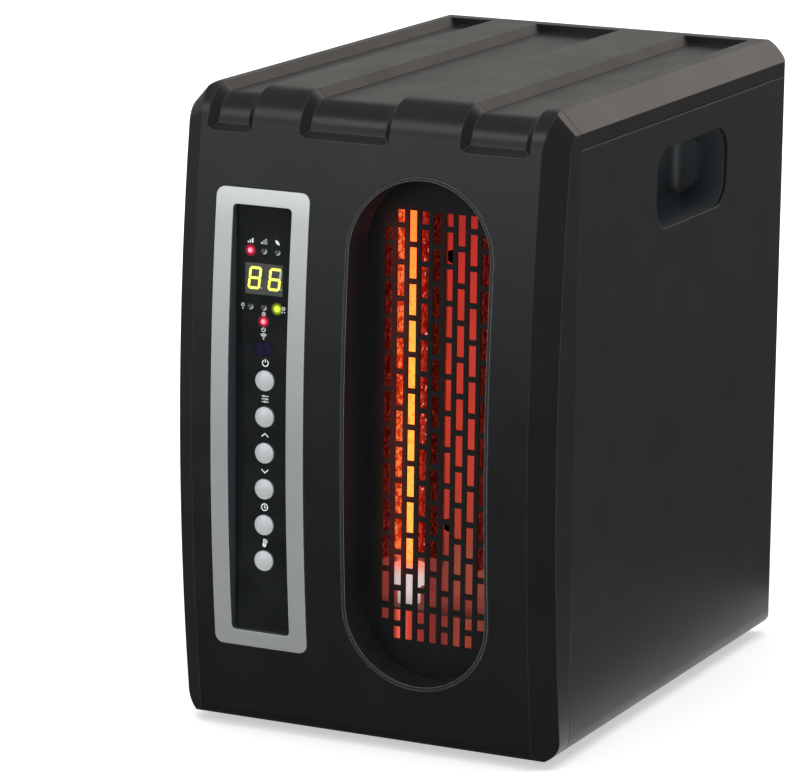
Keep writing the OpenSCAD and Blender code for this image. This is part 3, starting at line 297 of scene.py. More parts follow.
def moulded(name, colour, roughness, grain=0.7 * MM, depth=0.02 * MM, edge=0.5 * MM, gloss=0.5, edge_highlight=1.6):
    """Moulded or painted surface with a fine grain and faint clouds, and its edges painted lighter as a
    painted highlight.
    """
    finish = Finish(name, colour, roughness)
    finish.feed("Specular IOR Level", gloss)
    edges = finish.soften(edge)
    cloud = finish.noise(38 * MM, 3.0)
    speckle = finish.noise(grain, 1.0)
    shade = finish.ramp(cloud, [(0.3, scaled(colour, 0.82)), (0.7, scaled(colour, 1.2))])
    shade = finish.mix(finish.spread(speckle, 0.4, 0.66, 0.0, 0.6), shade, scaled(colour, 1.7))
    # Painted highlight: the edges are painted lighter, as if they caught the light
    painted_edge_highlight = tuple(min(1.0, c * edge_highlight + 0.004) for c in colour)
    finish.paint(finish.mix(edges, shade, painted_edge_highlight))
    sheen = finish.maths("ADD", finish.spread(cloud, 0.3, 0.7, -0.03, 0.03), roughness)
    finish.feed("Roughness", finish.maths("ADD", sheen, finish.spread(speckle, 0.3, 0.7, -0.02, 0.02)))
    finish.bump(speckle, depth)
    return finish


def brushed(name, colour, roughness, run):
    """Satin metal with fine lines that run along one axis."""
    finish = Finish(name, colour, roughness, metallic=1.0)
    edges = finish.soften(0.3 * MM)
    across = tuple(12 if axis == run else 1400 for axis in "xyz")
    lines = finish.noise(1.0, 2.0, finish.stretch(across))
    cloud = finish.noise(24 * MM)
    shade = finish.ramp(lines, [(0.3, scaled(colour, 0.86)), (0.7, scaled(colour, 1.08))])
    # Painted highlight: the edges are painted lighter
    finish.paint(finish.mix(edges, shade, scaled(colour, 1.25)))
    sheen = finish.maths("ADD", finish.spread(lines, 0.3, 0.7, -0.05, 0.06), roughness)
    finish.feed("Roughness", finish.maths("ADD", sheen, finish.spread(cloud, 0.3, 0.7, -0.03, 0.03)))
    finish.bump(lines, 0.008 * MM)
    return finish


def coat(finish, *nodes):
    """Gives CAD nodes a finish."""
    for name in nodes:
        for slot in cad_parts[name].material_slots:
            slot.material = finish.material


# Building pieces

def placed(name, mesh, finish):
    """Turns a bmesh into an object with a finish."""
    data = bpy.data.meshes.new(name)
    mesh.to_mesh(data)
    mesh.free()
    data.materials.append(finish.material)
    made = bpy.data.objects.new(name, data)
    bpy.context.scene.collection.objects.link(made)
    return made


def piece(name, mesh, finish, smooth=False):
    """Turns a bmesh into a piece of the housing."""
    bmesh.ops.recalc_face_normals(mesh, faces=mesh.faces)
    for face in mesh.faces:
        face.smooth = smooth
    made = placed(name, mesh, finish)
    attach(made, HOUSING)
    return made


def solids_of(node):
    """Boxes of the separate solids in a CAD node, from the top down and then from left to right."""
    mesh = bmesh.new()
    mesh.from_mesh(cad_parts[node].data)
    bmesh.ops.remove_doubles(mesh, verts=mesh.verts, dist=0.001 * MM)
    left = set(mesh.verts)
    found = []
    while left:
        edge = [left.pop()]
        group = []
        while edge:
            vert = edge.pop()
            group.append(vert.co)
            near = {link.other_vert(vert) for link in vert.link_edges} & left
            left -= near
            edge += near
        found.append([Vector(map(limit, zip(*group))) for limit in (min, max)])
    mesh.free()
    found.sort(key=lambda pair: (-round(pair[0].z, 4), pair[0].x))
    return found


def skin(mesh, rings, ends=True):
    """Joins each ring of corners with the next and closes the ends. A ring of one corner is a tip."""
    for a, b in zip(rings, rings[1:]):
        for i in range(max(len(a), len(b))):
            j = i + 1
            corners = (a[i % len(a)], a[j % len(a)], b[j % len(b)], b[i % len(b)])
            mesh.faces.new(list(dict.fromkeys(corners)))
    if ends:
        mesh.faces.new(rings[0])
        mesh.faces.new(rings[-1][::-1])


def plate(mesh, outline, near, far):
    """A flat shape with an (x, z) outline, between two planes of y."""
    skin(mesh, [[mesh.verts.new((x, y, z)) for x, z in outline] for y in (near, far)])


def stroke(mesh, points, width, near, far, closed=False):
    """A printed line of even width along (x, z) points, with mitred turns."""
    count = len(points)
    rings = []
    for i, (x, z) in enumerate(points):
        before = points[i - 1] if i or closed else points[0]
        after = points[(i + 1) % count] if i < count - 1 or closed else points[-1]
        into = Vector((x - before[0], z - before[1]))
        out = Vector((after[0] - x, after[1] - z))
        into = into.normalized() if into.length else out.normalized()
        out = out.normalized() if out.length else into
        along = (into + out).normalized()
        side = Vector((-along.y, along.x)) * (width / 2 / max(0.4, along.dot(out)))
        corners = ((side, near), (-side, near), (-side, far), (side, far))
        rings.append([mesh.verts.new((x + off.x, y, z + off.y)) for off, y in corners])
    skin(mesh, rings + rings[:1] if closed else rings, ends=not closed)


def arc(x, z, radius, start=0.0, end=360.0, steps=24):
    """Points on an arc, in degrees from the right, anticlockwise. A full ring leaves out its last."""
    full = abs(end - start) >= 360
    count = steps if full else steps + 1
    angles = [math.radians(start + (end - start) * i / steps) for i in range(count)]
    return [(x + radius * math.cos(a), z + radius * math.sin(a)) for a in angles]


def turned(mesh, profile, centre, sides=32):
    """Revolves (radius, y) points round an axis along Y through centre, from a tip to a tip."""
    rings = []
    for radius, y in profile:
        points = arc(centre.x, centre.z, radius, steps=sides if radius else 1)
        rings.append([mesh.verts.new((x, y, z)) for x, z in points])
    skin(mesh, rings, ends=False)


# Operators, one for each piece or group of like pieces

class HEATER_OT_housing(bpy.types.Operator):
    """Finish the cabinet, its top, the bezel and the handle cups."""
    bl_idname = "heater.housing"
    bl_label = "Finish housing"

    def execute(self, context):
        colours = context.scene.heater_colours
        sheet = moulded(
            "powder coat", colours.sheet, 0.4, grain=0.9 * MM, depth=0.03 * MM, edge=1.8 * MM, edge_highlight=3.0)
        coat(sheet, "left_side_panel", "right_side_panel", "base_plate")
        cover = moulded(
            "cover moulding", colours.body, 0.31, grain=0.8 * MM, depth=0.03 * MM, edge=0.7 * MM)
        # The long walls of the channels are duller than the deck and the bevels beside them
        aside = cover.maths("ABSOLUTE", cover.split()[0])
        lean = cover.meet(cover.node("ShaderNodeNewGeometry").outputs["Normal"], (1.0, 0.0, 0.0))
        wall = cover.times(cover.spread(lean, 0.3, 0.5), cover.spread(aside, 110 * MM, 108 * MM))
        sheen = cover.shader.inputs["Roughness"].links[0].from_socket
        cover.feed("Roughness", cover.maths("ADD", sheen, cover.spread(wall, 0.0, 1.0, 0.0, 0.14)))
        coat(cover, "top_cover", "rear_panel")
        bezel = moulded(
            "bezel moulding", colours.body, 0.32, grain=0.8 * MM, depth=0.02 * MM, edge=0.9 * MM, edge_highlight=9.0)
        coat(bezel, "front_bezel")
        self.liner()
        coat(moulded("tray moulding", tone(22, 22, 22), 0.5, edge=0.6 * MM), "control_tray")
        # Painted light: the cups are painted lighter than the black body, standing in for light inside the
        # recesses
        cup = moulded(
            "cup moulding", tone(44, 49, 52), 0.3,
            grain=0.3 * MM, depth=0.006 * MM, edge=1.2 * MM, edge_highlight=1.2)
        coat(cup, "left_handle_cup", "right_handle_cup")
        return {"FINISHED"}

    def liner(self):
        """Outlet liner with a painted highlight on its rim, and the tubes' red light painted as a faint
        glow high on its left.
        """
        liner = moulded("liner moulding", tone(31, 31, 32), 0.45, edge=0.5 * MM, gloss=0.35, edge_highlight=22.0)
        low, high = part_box("outlet_shroud")
        # Painted light: a red glow where the tubes' light falls on the liner's wall
        hot = Vector((low.x + 14 * MM, high.y, high.z - 34 * MM))
        near = liner.spread(liner.reach(hot), 34 * MM, 4 * MM)
        liner.glow(tone(92, 26, 22), liner.times(liner.maths("POWER", near, 2.0), 0.12))
        coat(liner, "outlet_shroud")


class HEATER_OT_trim(bpy.types.Operator):
    """Finish the silver trim and the gloss panel in it."""
    bl_idname = "heater.trim"
    bl_label = "Finish trim and panel"

    # Axis and radius of the bezel's bow, and how bright the silver is painted from its foot (0) to its top
    # (1), as painted light and shade
    bow_axis = (0.0, 1138.7 * MM, 195.0 * MM)
    bow_radius = 1322.85 * MM
    fade = ((0.0, 0.74), (0.45, 0.74), (0.75, 0.92), (0.93, 1.08), (1.0, 1.4))

    def execute(self, context):
        self.silver(tuple(context.scene.heater_colours.trim))
        fascia = Finish("gloss fascia", tone(18, 19, 21), 0.14)
        fascia.feed("Specular IOR Level", 0.4)
        haze = fascia.noise(20 * MM)
        fascia.feed("Roughness", fascia.spread(haze, 0.3, 0.7, 0.1, 0.2))
        fascia.paint(fascia.tones(haze, (0.3, 19, 22, 24), (0.7, 25, 28, 30)))
        # Lit lamps shine on the panel round them
        shine = (0.0, 0.0, 0.0)
        for (low, high), name in zip(solids_of("indicator_lamps"), LAMPS):
            if name in LIT_LAMPS:
                near = fascia.spread(fascia.reach((low + high) / 2, (1.0, 0.0, 1.0)), 4.2 * MM, 1.7 * MM)
                shine = fascia.mix(fascia.maths("POWER", near, 1.3), shine, tone(*LIT_LAMPS[name][1]))
        fascia.glow(shine, 0.9)
        coat(fascia, "control_fascia")
        window = Finish("receiver window", tone(44, 32, 86), 0.1)
        depth = window.noise(5 * MM)
        window.paint(window.tones(depth, (0.35, 17, 17, 22), (0.7, 30, 24, 58)))
        coat(window, "receiver_window")
        return {"FINISHED"}

    def silver(self, colour):
        """Satin silver lacquer with a fine flake, painted highlights on its edges and painted light that
        grows towards its top, over a dark skirt.
        """
        finish = Finish("silver lacquer", colour, 0.4, metallic=0.45)
        edges = finish.soften(0.5 * MM)
        flake = finish.noise(0.7 * MM, 1.0)
        low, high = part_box("trim_frame")
        rise = finish.spread(finish.split()[2], low.z, high.z)
        # Painted light and shade: the silver is lighter towards the top
        shade = finish.ramp(rise, [(place, scaled(colour, share)) for place, share in self.fade])
        shade = finish.mix(finish.spread(flake, 0.3, 0.7, 0.0, 0.14), shade, scaled(colour, 0.5))
        # Painted highlight on the edges
        shade = finish.mix(edges, shade, (0.92, 0.93, 0.93))
        # The face follows the bezel's bow, and what lies nearer to the bow's axis is the skirt
        radius = finish.reach(self.bow_axis, (0.0, 1.0, 1.0))
        face = finish.spread(radius, self.bow_radius - 0.5 * MM, self.bow_radius + 0.1 * MM)
        finish.paint(finish.mix(face, tone(80, 85, 90), shade))
        finish.feed("Roughness", finish.spread(finish.noise(24 * MM), 0.3, 0.7, 0.36, 0.44))
        finish.bump(flake, 0.01 * MM)
        coat(finish, "trim_frame")


class HEATER_OT_buttons(bpy.types.Operator):
    """Finish the six push buttons."""
    bl_idname = "heater.buttons"
    bl_label = "Finish buttons"

    def execute(self, context):
        colour = tuple(context.scene.heater_colours.button)
        finish = Finish("pearl button", colour, 0.34, metallic=0.35)
        finish.feed("Specular IOR Level", 0.6)
        finish.feed("Coat Weight", 0.3)
        finish.feed("Coat Roughness", 0.2)
        edges = finish.soften(0.25 * MM)
        flake = finish.noise(0.35 * MM, 1.0)
        shade = finish.ramp(flake, [(0.35, scaled(colour, 0.88)), (0.65, scaled(colour, 1.08))])
        # Painted shade: the button's rounded rim is painted darker
        finish.paint(finish.mix(edges, shade, scaled(colour, 0.8)))
        finish.bump(flake, 0.004 * MM)
        coat(finish, *("button_" + name for name in BUTTONS))
        return {"FINISHED"}


class HEATER_OT_marks(bpy.types.Operator):
    """Print plain signs over the buttons and beside the lamps."""
    bl_idname = "heater.marks"
    bl_label = "Print panel marks"

    # How far above its button a sign stands
    rise = 11.0 * MM
    # Piece, sign, lamp, and in millimetres how far right of and above the lamp, and half the height
    lamp_signs = (
        ("high", "three_bars", 0, 0.0, 6.0, 1.5), ("low", "one_bar", 1, 0.0, 6.0, 1.5),
        ("saving", "leaf", 2, 0.0, 6.0, 1.5), ("degree_left", "degree", 3, -5.0, 0.6, 1.5),
        ("degree_right", "two_degrees", 5, 4.3, 0.6, 1.5), ("timer_lamp", "timer", 4, 0.0, -3.9, 1.2),
        ("power_lamp", "power", 6, 0.0, -4.9, 1.4),
    )

    def execute(self, context):
        sizes = context.scene.heater_sizes
        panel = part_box("control_fascia")[0].y
        self.planes = panel - sizes.ink, panel + 0.2 * sizes.ink
        self.line = sizes.mark_line
        self.signs = self.drawn()
        self.white = Finish("white ink", tone(214, 218, 220), 0.6)
        patch = self.white.noise(0.5 * MM)
        self.white.paint(self.white.tones(patch, (0.3, 190, 194, 196), (0.6, 226, 229, 230)))
        # Painted light: a faint glow keeps the white ink bright
        self.white.glow(tone(200, 205, 208), 0.12)
        for name in BUTTONS:
            self.print_sign(name, name, middle("button_" + name), 0.0, self.rise, sizes.mark_size / 2)
        lamps = [(low + high) / 2 for low, high in solids_of("indicator_lamps")]
        for name, sign, lamp, across, up, half in self.lamp_signs:
            self.print_sign(name, sign, lamps[lamp], across * MM, up * MM, half * MM)
        self.print_sign("receiver", "waves", middle("receiver_window"), 0.0, 7.4 * MM, 1.7 * MM)
        return {"FINISHED"}

    def print_sign(self, name, sign, at, across, up, half):
        mesh = bmesh.new()
        for points, width, closed in self.signs[sign]:
            spots = [(at.x + across + half * x, at.z + up + half * z) for x, z in points]
            if width == 0:
                plate(mesh, spots, *self.planes)
            else:
                stroke(mesh, spots, width or min(self.line, 0.3 * half), *self.planes, closed)
        piece("mark_" + name, mesh, self.white)

    def drawn(self):
        """Lines of each sign: points round its centre in halves of its height, a width, and closed or not.

        The width is 0 for a filled shape, and None for the common one.
        """
        mode = []
        for level, knob in ((0.75, -0.35), (0, 0.4), (-0.75, -0.1)):
            mode.append(([(-1, level), (1, level)], self.line * 0.7, False))
            mode.append(([(knob, level - 0.3), (knob, level + 0.3)], None, False))
        outline = arc(0, -0.58, 0.42, 120, 420) + arc(0, 0.78, 0.22, 0, 180, 8)
        thermometer = [(outline, None, True), (arc(0, -0.58, 0.126, steps=10), None, True)]
        for level in (0.1, 0.45, 0.8):
            thermometer.append(([(0.5, level), (0.85, level)], None, False))
        leaf = arc(-1, -1, 2, 5, 85, 8) + arc(1, 1, 2, 185, 265, 8)
        waves = [(arc(0, -0.8, 0.22, steps=10), 0, True)]
        for radius in (0.75, 1.3, 1.85):
            waves.append((arc(0, -0.8, radius, 50, 130, 10), 0.4 * MM, False))
        return {
            "power": [(arc(0, -0.1, 0.85, 125, 415), None, False), ([(0, 1), (0, 0.1)], None, False)],
            "mode": mode,
            "up": [([(-1, -0.45), (0, 0.45), (1, -0.45)], None, False)],
            "down": [([(-1, 0.45), (0, -0.45), (1, 0.45)], None, False)],
            "timer": [(arc(0, 0, 0.9), None, True), ([(0, 0.55), (0, 0), (0.42, -0.2)], None, False)],
            "units": thermometer,
            "one_bar": self.bars(1), "three_bars": self.bars(3),
            "leaf": [(leaf, 0, True)],
            "degree": self.degree(1), "two_degrees": self.degree(2),
            "waves": waves,
        }

    def bars(self, lit):
        """Three bars that grow to the right, as many of them filled as are lit."""
        rows = []
        for i in range(3):
            left, top = (i - 1) * 0.95 - 0.3, (0.5 + 0.5 * i) * 1.3 - 1
            corners = [(left, -1), (left + 0.6, -1), (left + 0.6, top), (left, top)]
            rows.append((corners, 0 if i < lit else 0.18 * MM, True))
        return rows

    def degree(self, dots):
        """A small ring with dots under it that tell the two scales apart."""
        centres = [(i - (dots - 1) / 2) * 1.1 for i in range(dots)]
        ring = (arc(0, 0, 0.6, steps=14), 0.4 * MM, True)
        return [ring] + [(arc(x, -1.5, 0.28, steps=8), 0, True) for x in centres]


class HEATER_OT_display(bpy.types.Operator):
    """Finish the display and light its two digits."""
    bl_idname = "heater.display"
    bl_label = "Light display"

    # Lean of the digits, and distance between their middles
    slant = math.tan(math.radians(7))
    spacing = 13.4 * MM
    # Which of the segments a, b, c, d, e, f and g a digit lights
    lit_segments = {"8": "abcdefg", "6": "acdefg"}

    def execute(self, context):
        sizes = context.scene.heater_sizes
        lens = Finish("display lens", tone(60, 62, 58), 0.3)
        lens.paint(lens.tones(lens.noise(6 * MM), (0.3, 54, 56, 54), (0.7, 64, 66, 61)))
        # Painted light: the lens glows faintly grey, as if lit
        lens.glow(tone(58, 61, 58), 0.35)
        coat(lens, "display_module")
        lit = self.ink("lit segment", tuple(context.scene.heater_colours.digit), tone(250, 250, 112), 1.0)
        halo = self.ink("segment halo", tone(84, 92, 34), tone(104, 114, 36), 0.8)
        # Painted light: the unlit segments glow faintly pale
        pale = self.ink("unlit segment", tone(150, 154, 146), tone(176, 180, 170), 0.3)
        self.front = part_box("display_module")[0].y
        self.height = sizes.digit_height
        centre = middle("display_module")
        broad, narrow = sizes.digit_stroke + 0.9 * MM, sizes.digit_stroke
        for side, digit, name in ((-1, "8", "digit_tens"), (1, "6", "digit_ones")):
            at = (centre.x + side * self.spacing / 2 + 0.6 * MM, centre.z + 0.5 * MM)
            lit_ones = self.lit_segments[digit]
            dark_ones = [letter for letter in "abcdefg" if letter not in lit_ones]
            self.draw_digit(name + "_halo", halo, at, lit_ones, broad, 0.5 * sizes.ink)
            self.draw_digit(name, lit, at, lit_ones, narrow, sizes.ink)
            self.draw_digit(name + "_unlit", pale, at, dark_ones, narrow, sizes.ink, dot=0.45 * MM)
        return {"FINISHED"}

    def ink(self, name, dark, light, strength):
        """Flat colour with soft spots, that glows by itself."""
        finish = Finish(name, dark, 0.4)
        finish.glow(finish.ramp(finish.noise(1.2 * MM), [(0.3, dark), (0.7, light)]), strength)
        return finish

    def draw_digit(self, name, finish, at, letters, width, ink, dot=0.0):
        """Segments of one digit, and its point where it has a radius."""
        x, z = at
        near, far = self.front - ink, self.front + 0.01 * MM
        mesh = bmesh.new()
        # Height of the top segment's middle, distance of the upright ones' middles, gap at the corners
        tall = self.height / 2 - 0.7 * MM
        side = self.height / 4 - 0.05 * MM
        gap = 0.62 * MM
        half = width / 2
        places = {
            "a": (0, tall, True), "g": (0, 0, True), "d": (0, -tall, True),
            "f": (-side, tall / 2, False), "b": (side, tall / 2, False),
            "e": (-side, -tall / 2, False), "c": (side, -tall / 2, False),
        }
        for letter in letters:
            dx, dz, level = places[letter]
            reach = (side if level else tall / 2) + half - gap
            bar = [
                (-reach, 0), (-reach + half, half), (reach - half, half),
                (reach, 0), (reach - half, -half), (-reach + half, -half)]
            outline = [(dx + u, dz + v) if level else (dx + v, dz + u) for u, v in bar]
            plate(mesh, [(x + u + v * self.slant, z + v) for u, v in outline], near, far)
        if dot:
            foot = 0.9 * MM - self.height / 2
            plate(mesh, arc(x + side + 1.7 * MM + foot * self.slant, z + foot, dot, steps=12), near, far)
        piece(name, mesh, finish)


class HEATER_OT_lamps(bpy.types.Operator):
    """Build the lenses of the seven indicator lamps, three of them lit."""
    bl_idname = "heater.lamps"
    bl_label = "Build lamps"

    def execute(self, context):
        # Angles of the steps of a lens's dome, and its play in the CAD lamp's box
        dome = [math.radians(90 * i / 7) for i in range(8)]
        play = 0.02 * MM
        for name, (low, high) in zip(LAMPS, solids_of("indicator_lamps")):
            centre = (low + high) / 2
            finish = (self.lit_finish if name in LIT_LAMPS else self.dull_finish)(name, centre)
            radius = (high.x - low.x) / 2 - play
            profile = [(radius * math.sin(a), low.y + play + radius * (1 - math.cos(a))) for a in dome]
            profile += [(radius, high.y - 0.6 * MM), (radius * 0.8, high.y), (0.0, high.y)]
            mesh = bmesh.new()
            turned(mesh, profile, centre)
            lens = piece(name, mesh, finish, smooth=True)
            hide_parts("indicator_lamps")
        return {"FINISHED"}

    def lit_finish(self, name, centre):
        core, rim = (tone(*colour) for colour in LIT_LAMPS[name])
        finish = Finish(name, rim, 0.2)
        far = finish.spread(finish.reach(centre, (1.0, 0.0, 1.0)), 0.2 * MM, 1.9 * MM)
        finish.glow(finish.ramp(far, [(0.0, core), (0.3, core), (1.0, rim)]), 1.0)
        return finish

    def dull_finish(self, name, centre):
        """Dark lens with a pale crescent where light gathers in it, low on the right."""
        finish = Finish(name, tone(60, 64, 62), 0.12)
        finish.feed("Coat Weight", 0.6)
        off = Vector((centre.x - 0.8 * MM, 0.0, centre.z + 0.8 * MM))
        far = finish.spread(finish.reach(off, (1.0, 0.0, 1.0)), 0.4 * MM, 2.9 * MM)
        finish.paint(finish.tones(
            far, (0.0, 96, 96, 94), (0.25, 58, 62, 60), (0.62, 52, 56, 55), (0.8, 170, 174, 170),
            (1.0, 226, 228, 224)))
        return finish


class HEATER_OT_outlet(bpy.types.Operator):
    """Build the glowing tubes and hammered reflectors and finish what shows through the grille."""
    bl_idname = "heater.outlet"
    bl_label = "Light outlet"

    def execute(self, context):
        self.grille()
        self.chamber(context.scene.heater_colours)
        self.quartz()
        for side in ("left", "right"):
            self.reflector(context.scene.heater_sizes, side)
            self.coil(context.scene, side)
        self.caps()
        return {"FINISHED"}

    def caps(self):
        """Fired ceramic, lit from above by the tube in it."""
        finish = Finish("fired ceramic", tone(226, 220, 216), 0.6)
        grain = finish.noise(1.4 * MM)
        finish.paint(finish.tones(grain, (0.3, 206, 198, 194), (0.7, 236, 230, 226)))
        low, high = solids_of("ceramic_caps")[-1]
        height = finish.spread(finish.split()[2], low.z, high.z)
        lit = finish.tones(
            height, (0.0, 150, 120, 118), (0.45, 198, 190, 190), (0.8, 210, 188, 188), (1.0, 240, 124, 108))
        finish.glow(lit, 0.8)
        finish.bump(grain, 0.03 * MM)
        coat(finish, "ceramic_caps")

    def grille(self):
        """Black enamel, reddened where the left tube shines through beside it."""
        finish = moulded("grille enamel", tone(17, 16, 16), 0.55, edge=0.2 * MM, gloss=0.3)
        axis = middle("left_quartz_tube")
        low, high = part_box("left_reflector")
        x, _, z = finish.split()
        beside = finish.spread(finish.apart(x, axis.x + 9 * MM), 16 * MM, 3 * MM)
        half = (high.z - low.z) / 2
        within = finish.spread(finish.apart(z, (low.z + high.z) / 2), half + 8 * MM, half - 12 * MM)
        finish.glow(tone(56, 14, 8), finish.times(finish.maths("POWER", beside, 1.5), within))
        coat(finish, "outlet_grille")

    def chamber(self, colours):
        """Bare sheet with the tubes' light painted on it as a glow, painted darker at the foot and the top.
        """
        finish = Finish("tube lit sheet", tone(96, 84, 78), 0.5, metallic=0.7)
        low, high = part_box("heating_chamber")
        foot = solids_of("ceramic_caps")[-1][1].z
        x, y, z = finish.split()
        clouds = finish.noise(16 * MM, 3.0)
        # Painted light and shade: brightest about a third of the way up, darker at the foot and the top
        upper = finish.ramp(finish.spread(z, foot, high.z), [
            (0.0, tone(148, 62, 48)), (0.07, tone(166, 66, 50)), (0.16, tone(190, 60, 44)),
            (0.35, tuple(colours.glow)), (0.7, tone(200, 48, 42)), (0.82, tone(160, 36, 36)),
            (1.0, tone(104, 26, 28))])
        lower = finish.tones(
            finish.spread(x, low.x, high.x),
            (0.0, 226, 74, 54), (0.06, 240, 100, 74), (0.1, 204, 72, 58), (0.14, 150, 56, 50),
            (0.22, 96, 42, 40), (0.3, 116, 48, 42), (0.4, 146, 70, 52), (0.6, 112, 44, 38))
        lower = finish.mix(finish.spread(y, high.y - 11 * MM, high.y - 6 * MM), tone(104, 46, 44), lower)
        share = finish.spread(z, foot + 2 * MM, foot + 14 * MM)
        shade = finish.mix(share, lower, upper)
        shade = finish.mix(finish.spread(clouds, 0.35, 0.65, 0.0, 0.4), shade, tone(160, 48, 38))
        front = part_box("ceramic_caps")[1].y
        inside = finish.spread(y, front - 30 * MM, front)
        # The outer faces of the box stay dark
        aside = finish.apart(x, (low.x + high.x) / 2)
        for level, outer in ((y, high.y), (z, high.z), (aside, (high.x - low.x) / 2)):
            inside = finish.times(inside, finish.spread(level, outer - 0.2 * MM, outer - 0.6 * MM))
        # Painted light: the tubes' light on the inner faces, shown as a glow
        finish.glow(shade, finish.times(inside, 0.95))
        coat(finish, "heating_chamber", "lower_tube_bracket", "upper_tube_bracket")

    def quartz(self):
        """Clear tube with a faint heat tint."""
        finish = Finish("quartz", tone(255, 236, 214), 0.04)
        finish.feed("Transmission Weight", 1.0)
        finish.feed("IOR", 1.12)
        ripple = finish.noise(14 * MM)
        finish.feed("Roughness", finish.spread(ripple, 0.3, 0.7, 0.02, 0.1))
        finish.glow(tone(255, 120, 40), 0.12)
        coat(finish, "left_quartz_tube", "right_quartz_tube")

    def reflector(self, sizes, side):
        """Half-round reflector of hammered sheet, glowing where the tube shines on it."""
        node = side + "_reflector"
        low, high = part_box(node)
        axis = middle(side + "_quartz_tube")
        outer = (high.x - low.x) / 2
        inner = outer - 1 * MM
        thick = 0.9 * MM
        # Steps round and along the sheet
        around, along = 44, 170
        # How many dents fit in the radius, and the height of one in millimetres
        dents, dent_height = 3.2, 6.3
        # The right sheet has other dents than the left one
        other = Vector((7.0 if side == "right" else 0.0, 0.0, 0.0))
        mesh = bmesh.new()
        rings = []
        for k in range(along + 1):
            z = low.z + (high.z - low.z) * k / along
            spots = []
            for i in range(around + 1):
                a = math.pi * i / around
                spot = Vector((math.cos(a) * dents, math.sin(a) * dents, z / MM / dent_height))
                dent = noise.voronoi(spot + other)[0][0]
                rim = min(1.0, min(i, around - i, k, along - k) / 3)
                depth = sizes.dimple * (0.55 - min(0.9, dent)) * rim
                spots.append((a, inner - max(0.0, depth)))
            spots += [(a, r + thick) for a, r in reversed(spots)]
            rings.append([
                mesh.verts.new((axis.x + r * math.cos(a), axis.y + r * math.sin(a), z)) for a, r in spots])
        skin(mesh, rings, ends=False)
        for ring in (rings[0], rings[-1]):
            for i in range(around):
                mesh.faces.new((ring[i], ring[i + 1], ring[-2 - i], ring[-1 - i]))
        made = piece(side + "_hammered_reflector", mesh, self.hammered(side, axis), smooth=True)
        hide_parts(node)

    def hammered(self, side, axis):
        finish = Finish(side + " hammered sheet", tone(62, 34, 28), 0.3, metallic=0.9)
        across, depth = (finish.maths("SUBTRACT", finish.split()[i], axis[i]) for i in (0, 1))
        # Angle round the tube: 0 at the right edge, half a turn at the left one
        angle = finish.maths("ARCTAN2", depth, across)
        turn = finish.spread(angle, 0.0, math.pi)
        # Painted light: the tube's glow reflected in the foil, by the angle round the tube
        base = finish.tones(
            turn, (0.0, 206, 56, 48), (0.02, 206, 56, 48), (0.04, 30, 12, 12), (0.38, 16, 8, 8),
            (0.43, 60, 16, 15), (0.5, 136, 28, 24), (0.6, 206, 60, 38), (0.7, 248, 116, 62),
            (0.78, 250, 122, 66), (0.83, 150, 46, 36), (0.88, 66, 20, 22), (1.0, 56, 18, 20))
        facets = finish.cells(5.2 * MM, "DISTANCE_TO_EDGE")
        folds = finish.noise(2.6 * MM, 3.0, finish.stretch((1.0, 1.0, 0.55)))
        # Painted shade: a darker copy of the glow for the shaded side of the folds
        fold_shade = finish.mix(1.0, base, tone(212, 112, 96), "MULTIPLY")
        shade = finish.mix(finish.spread(folds, 0.44, 0.56), fold_shade, base)
        # Sharp creases in the foil shine on one side and are dark on the other
        crease = finish.apart(folds, 0.5)
        ridge = finish.mix(1.0, base, (2.6, 1.9, 1.5), "MULTIPLY")
        ridge = finish.mix(0.45, ridge, tone(236, 62, 38))
        lit = finish.times(finish.spread(crease, 0.022, 0.0), finish.spread(turn, 0.04, 0.12))
        shade = finish.mix(finish.times(lit, 0.75), shade, ridge)
        # Painted shade in the creases between the dents
        crease_shade = finish.spread(facets, 0.08, 0.0)
        shade = finish.mix(crease_shade, shade, finish.mix(1.0, base, tone(150, 70, 60), "MULTIPLY"))
        # Painted highlights: pale pink glints towards the back of the sheet
        bright = finish.spread(finish.noise(2.4 * MM, 1.0, finish.stretch((1.0, 1.0, 0.7))), 0.66, 0.74)
        painted_glints = finish.times(bright, finish.spread(turn, 0.41, 0.47))
        painted_glints = finish.times(painted_glints, finish.spread(turn, 0.66, 0.58))
        shade = finish.mix(painted_glints, shade, tone(248, 140, 128))
        finish.glow(shade, 1.0)
        finish.bump(facets, 0.5 * MM, 0.5)
        return finish

    def coil(self, scene, side):
        """Closely wound coil."""
        sizes = scene.heater_sizes
        node = side + "_heating_coil"
        low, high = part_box(node)
        axis = (low + high) / 2
        wire = sizes.coil_wire
        radius = (high.x - low.x) / 2 - wire
        turns = int((high.z - low.z - 2 * wire) / sizes.coil_pitch)
        pitch = (high.z - low.z - 2 * wire) / turns
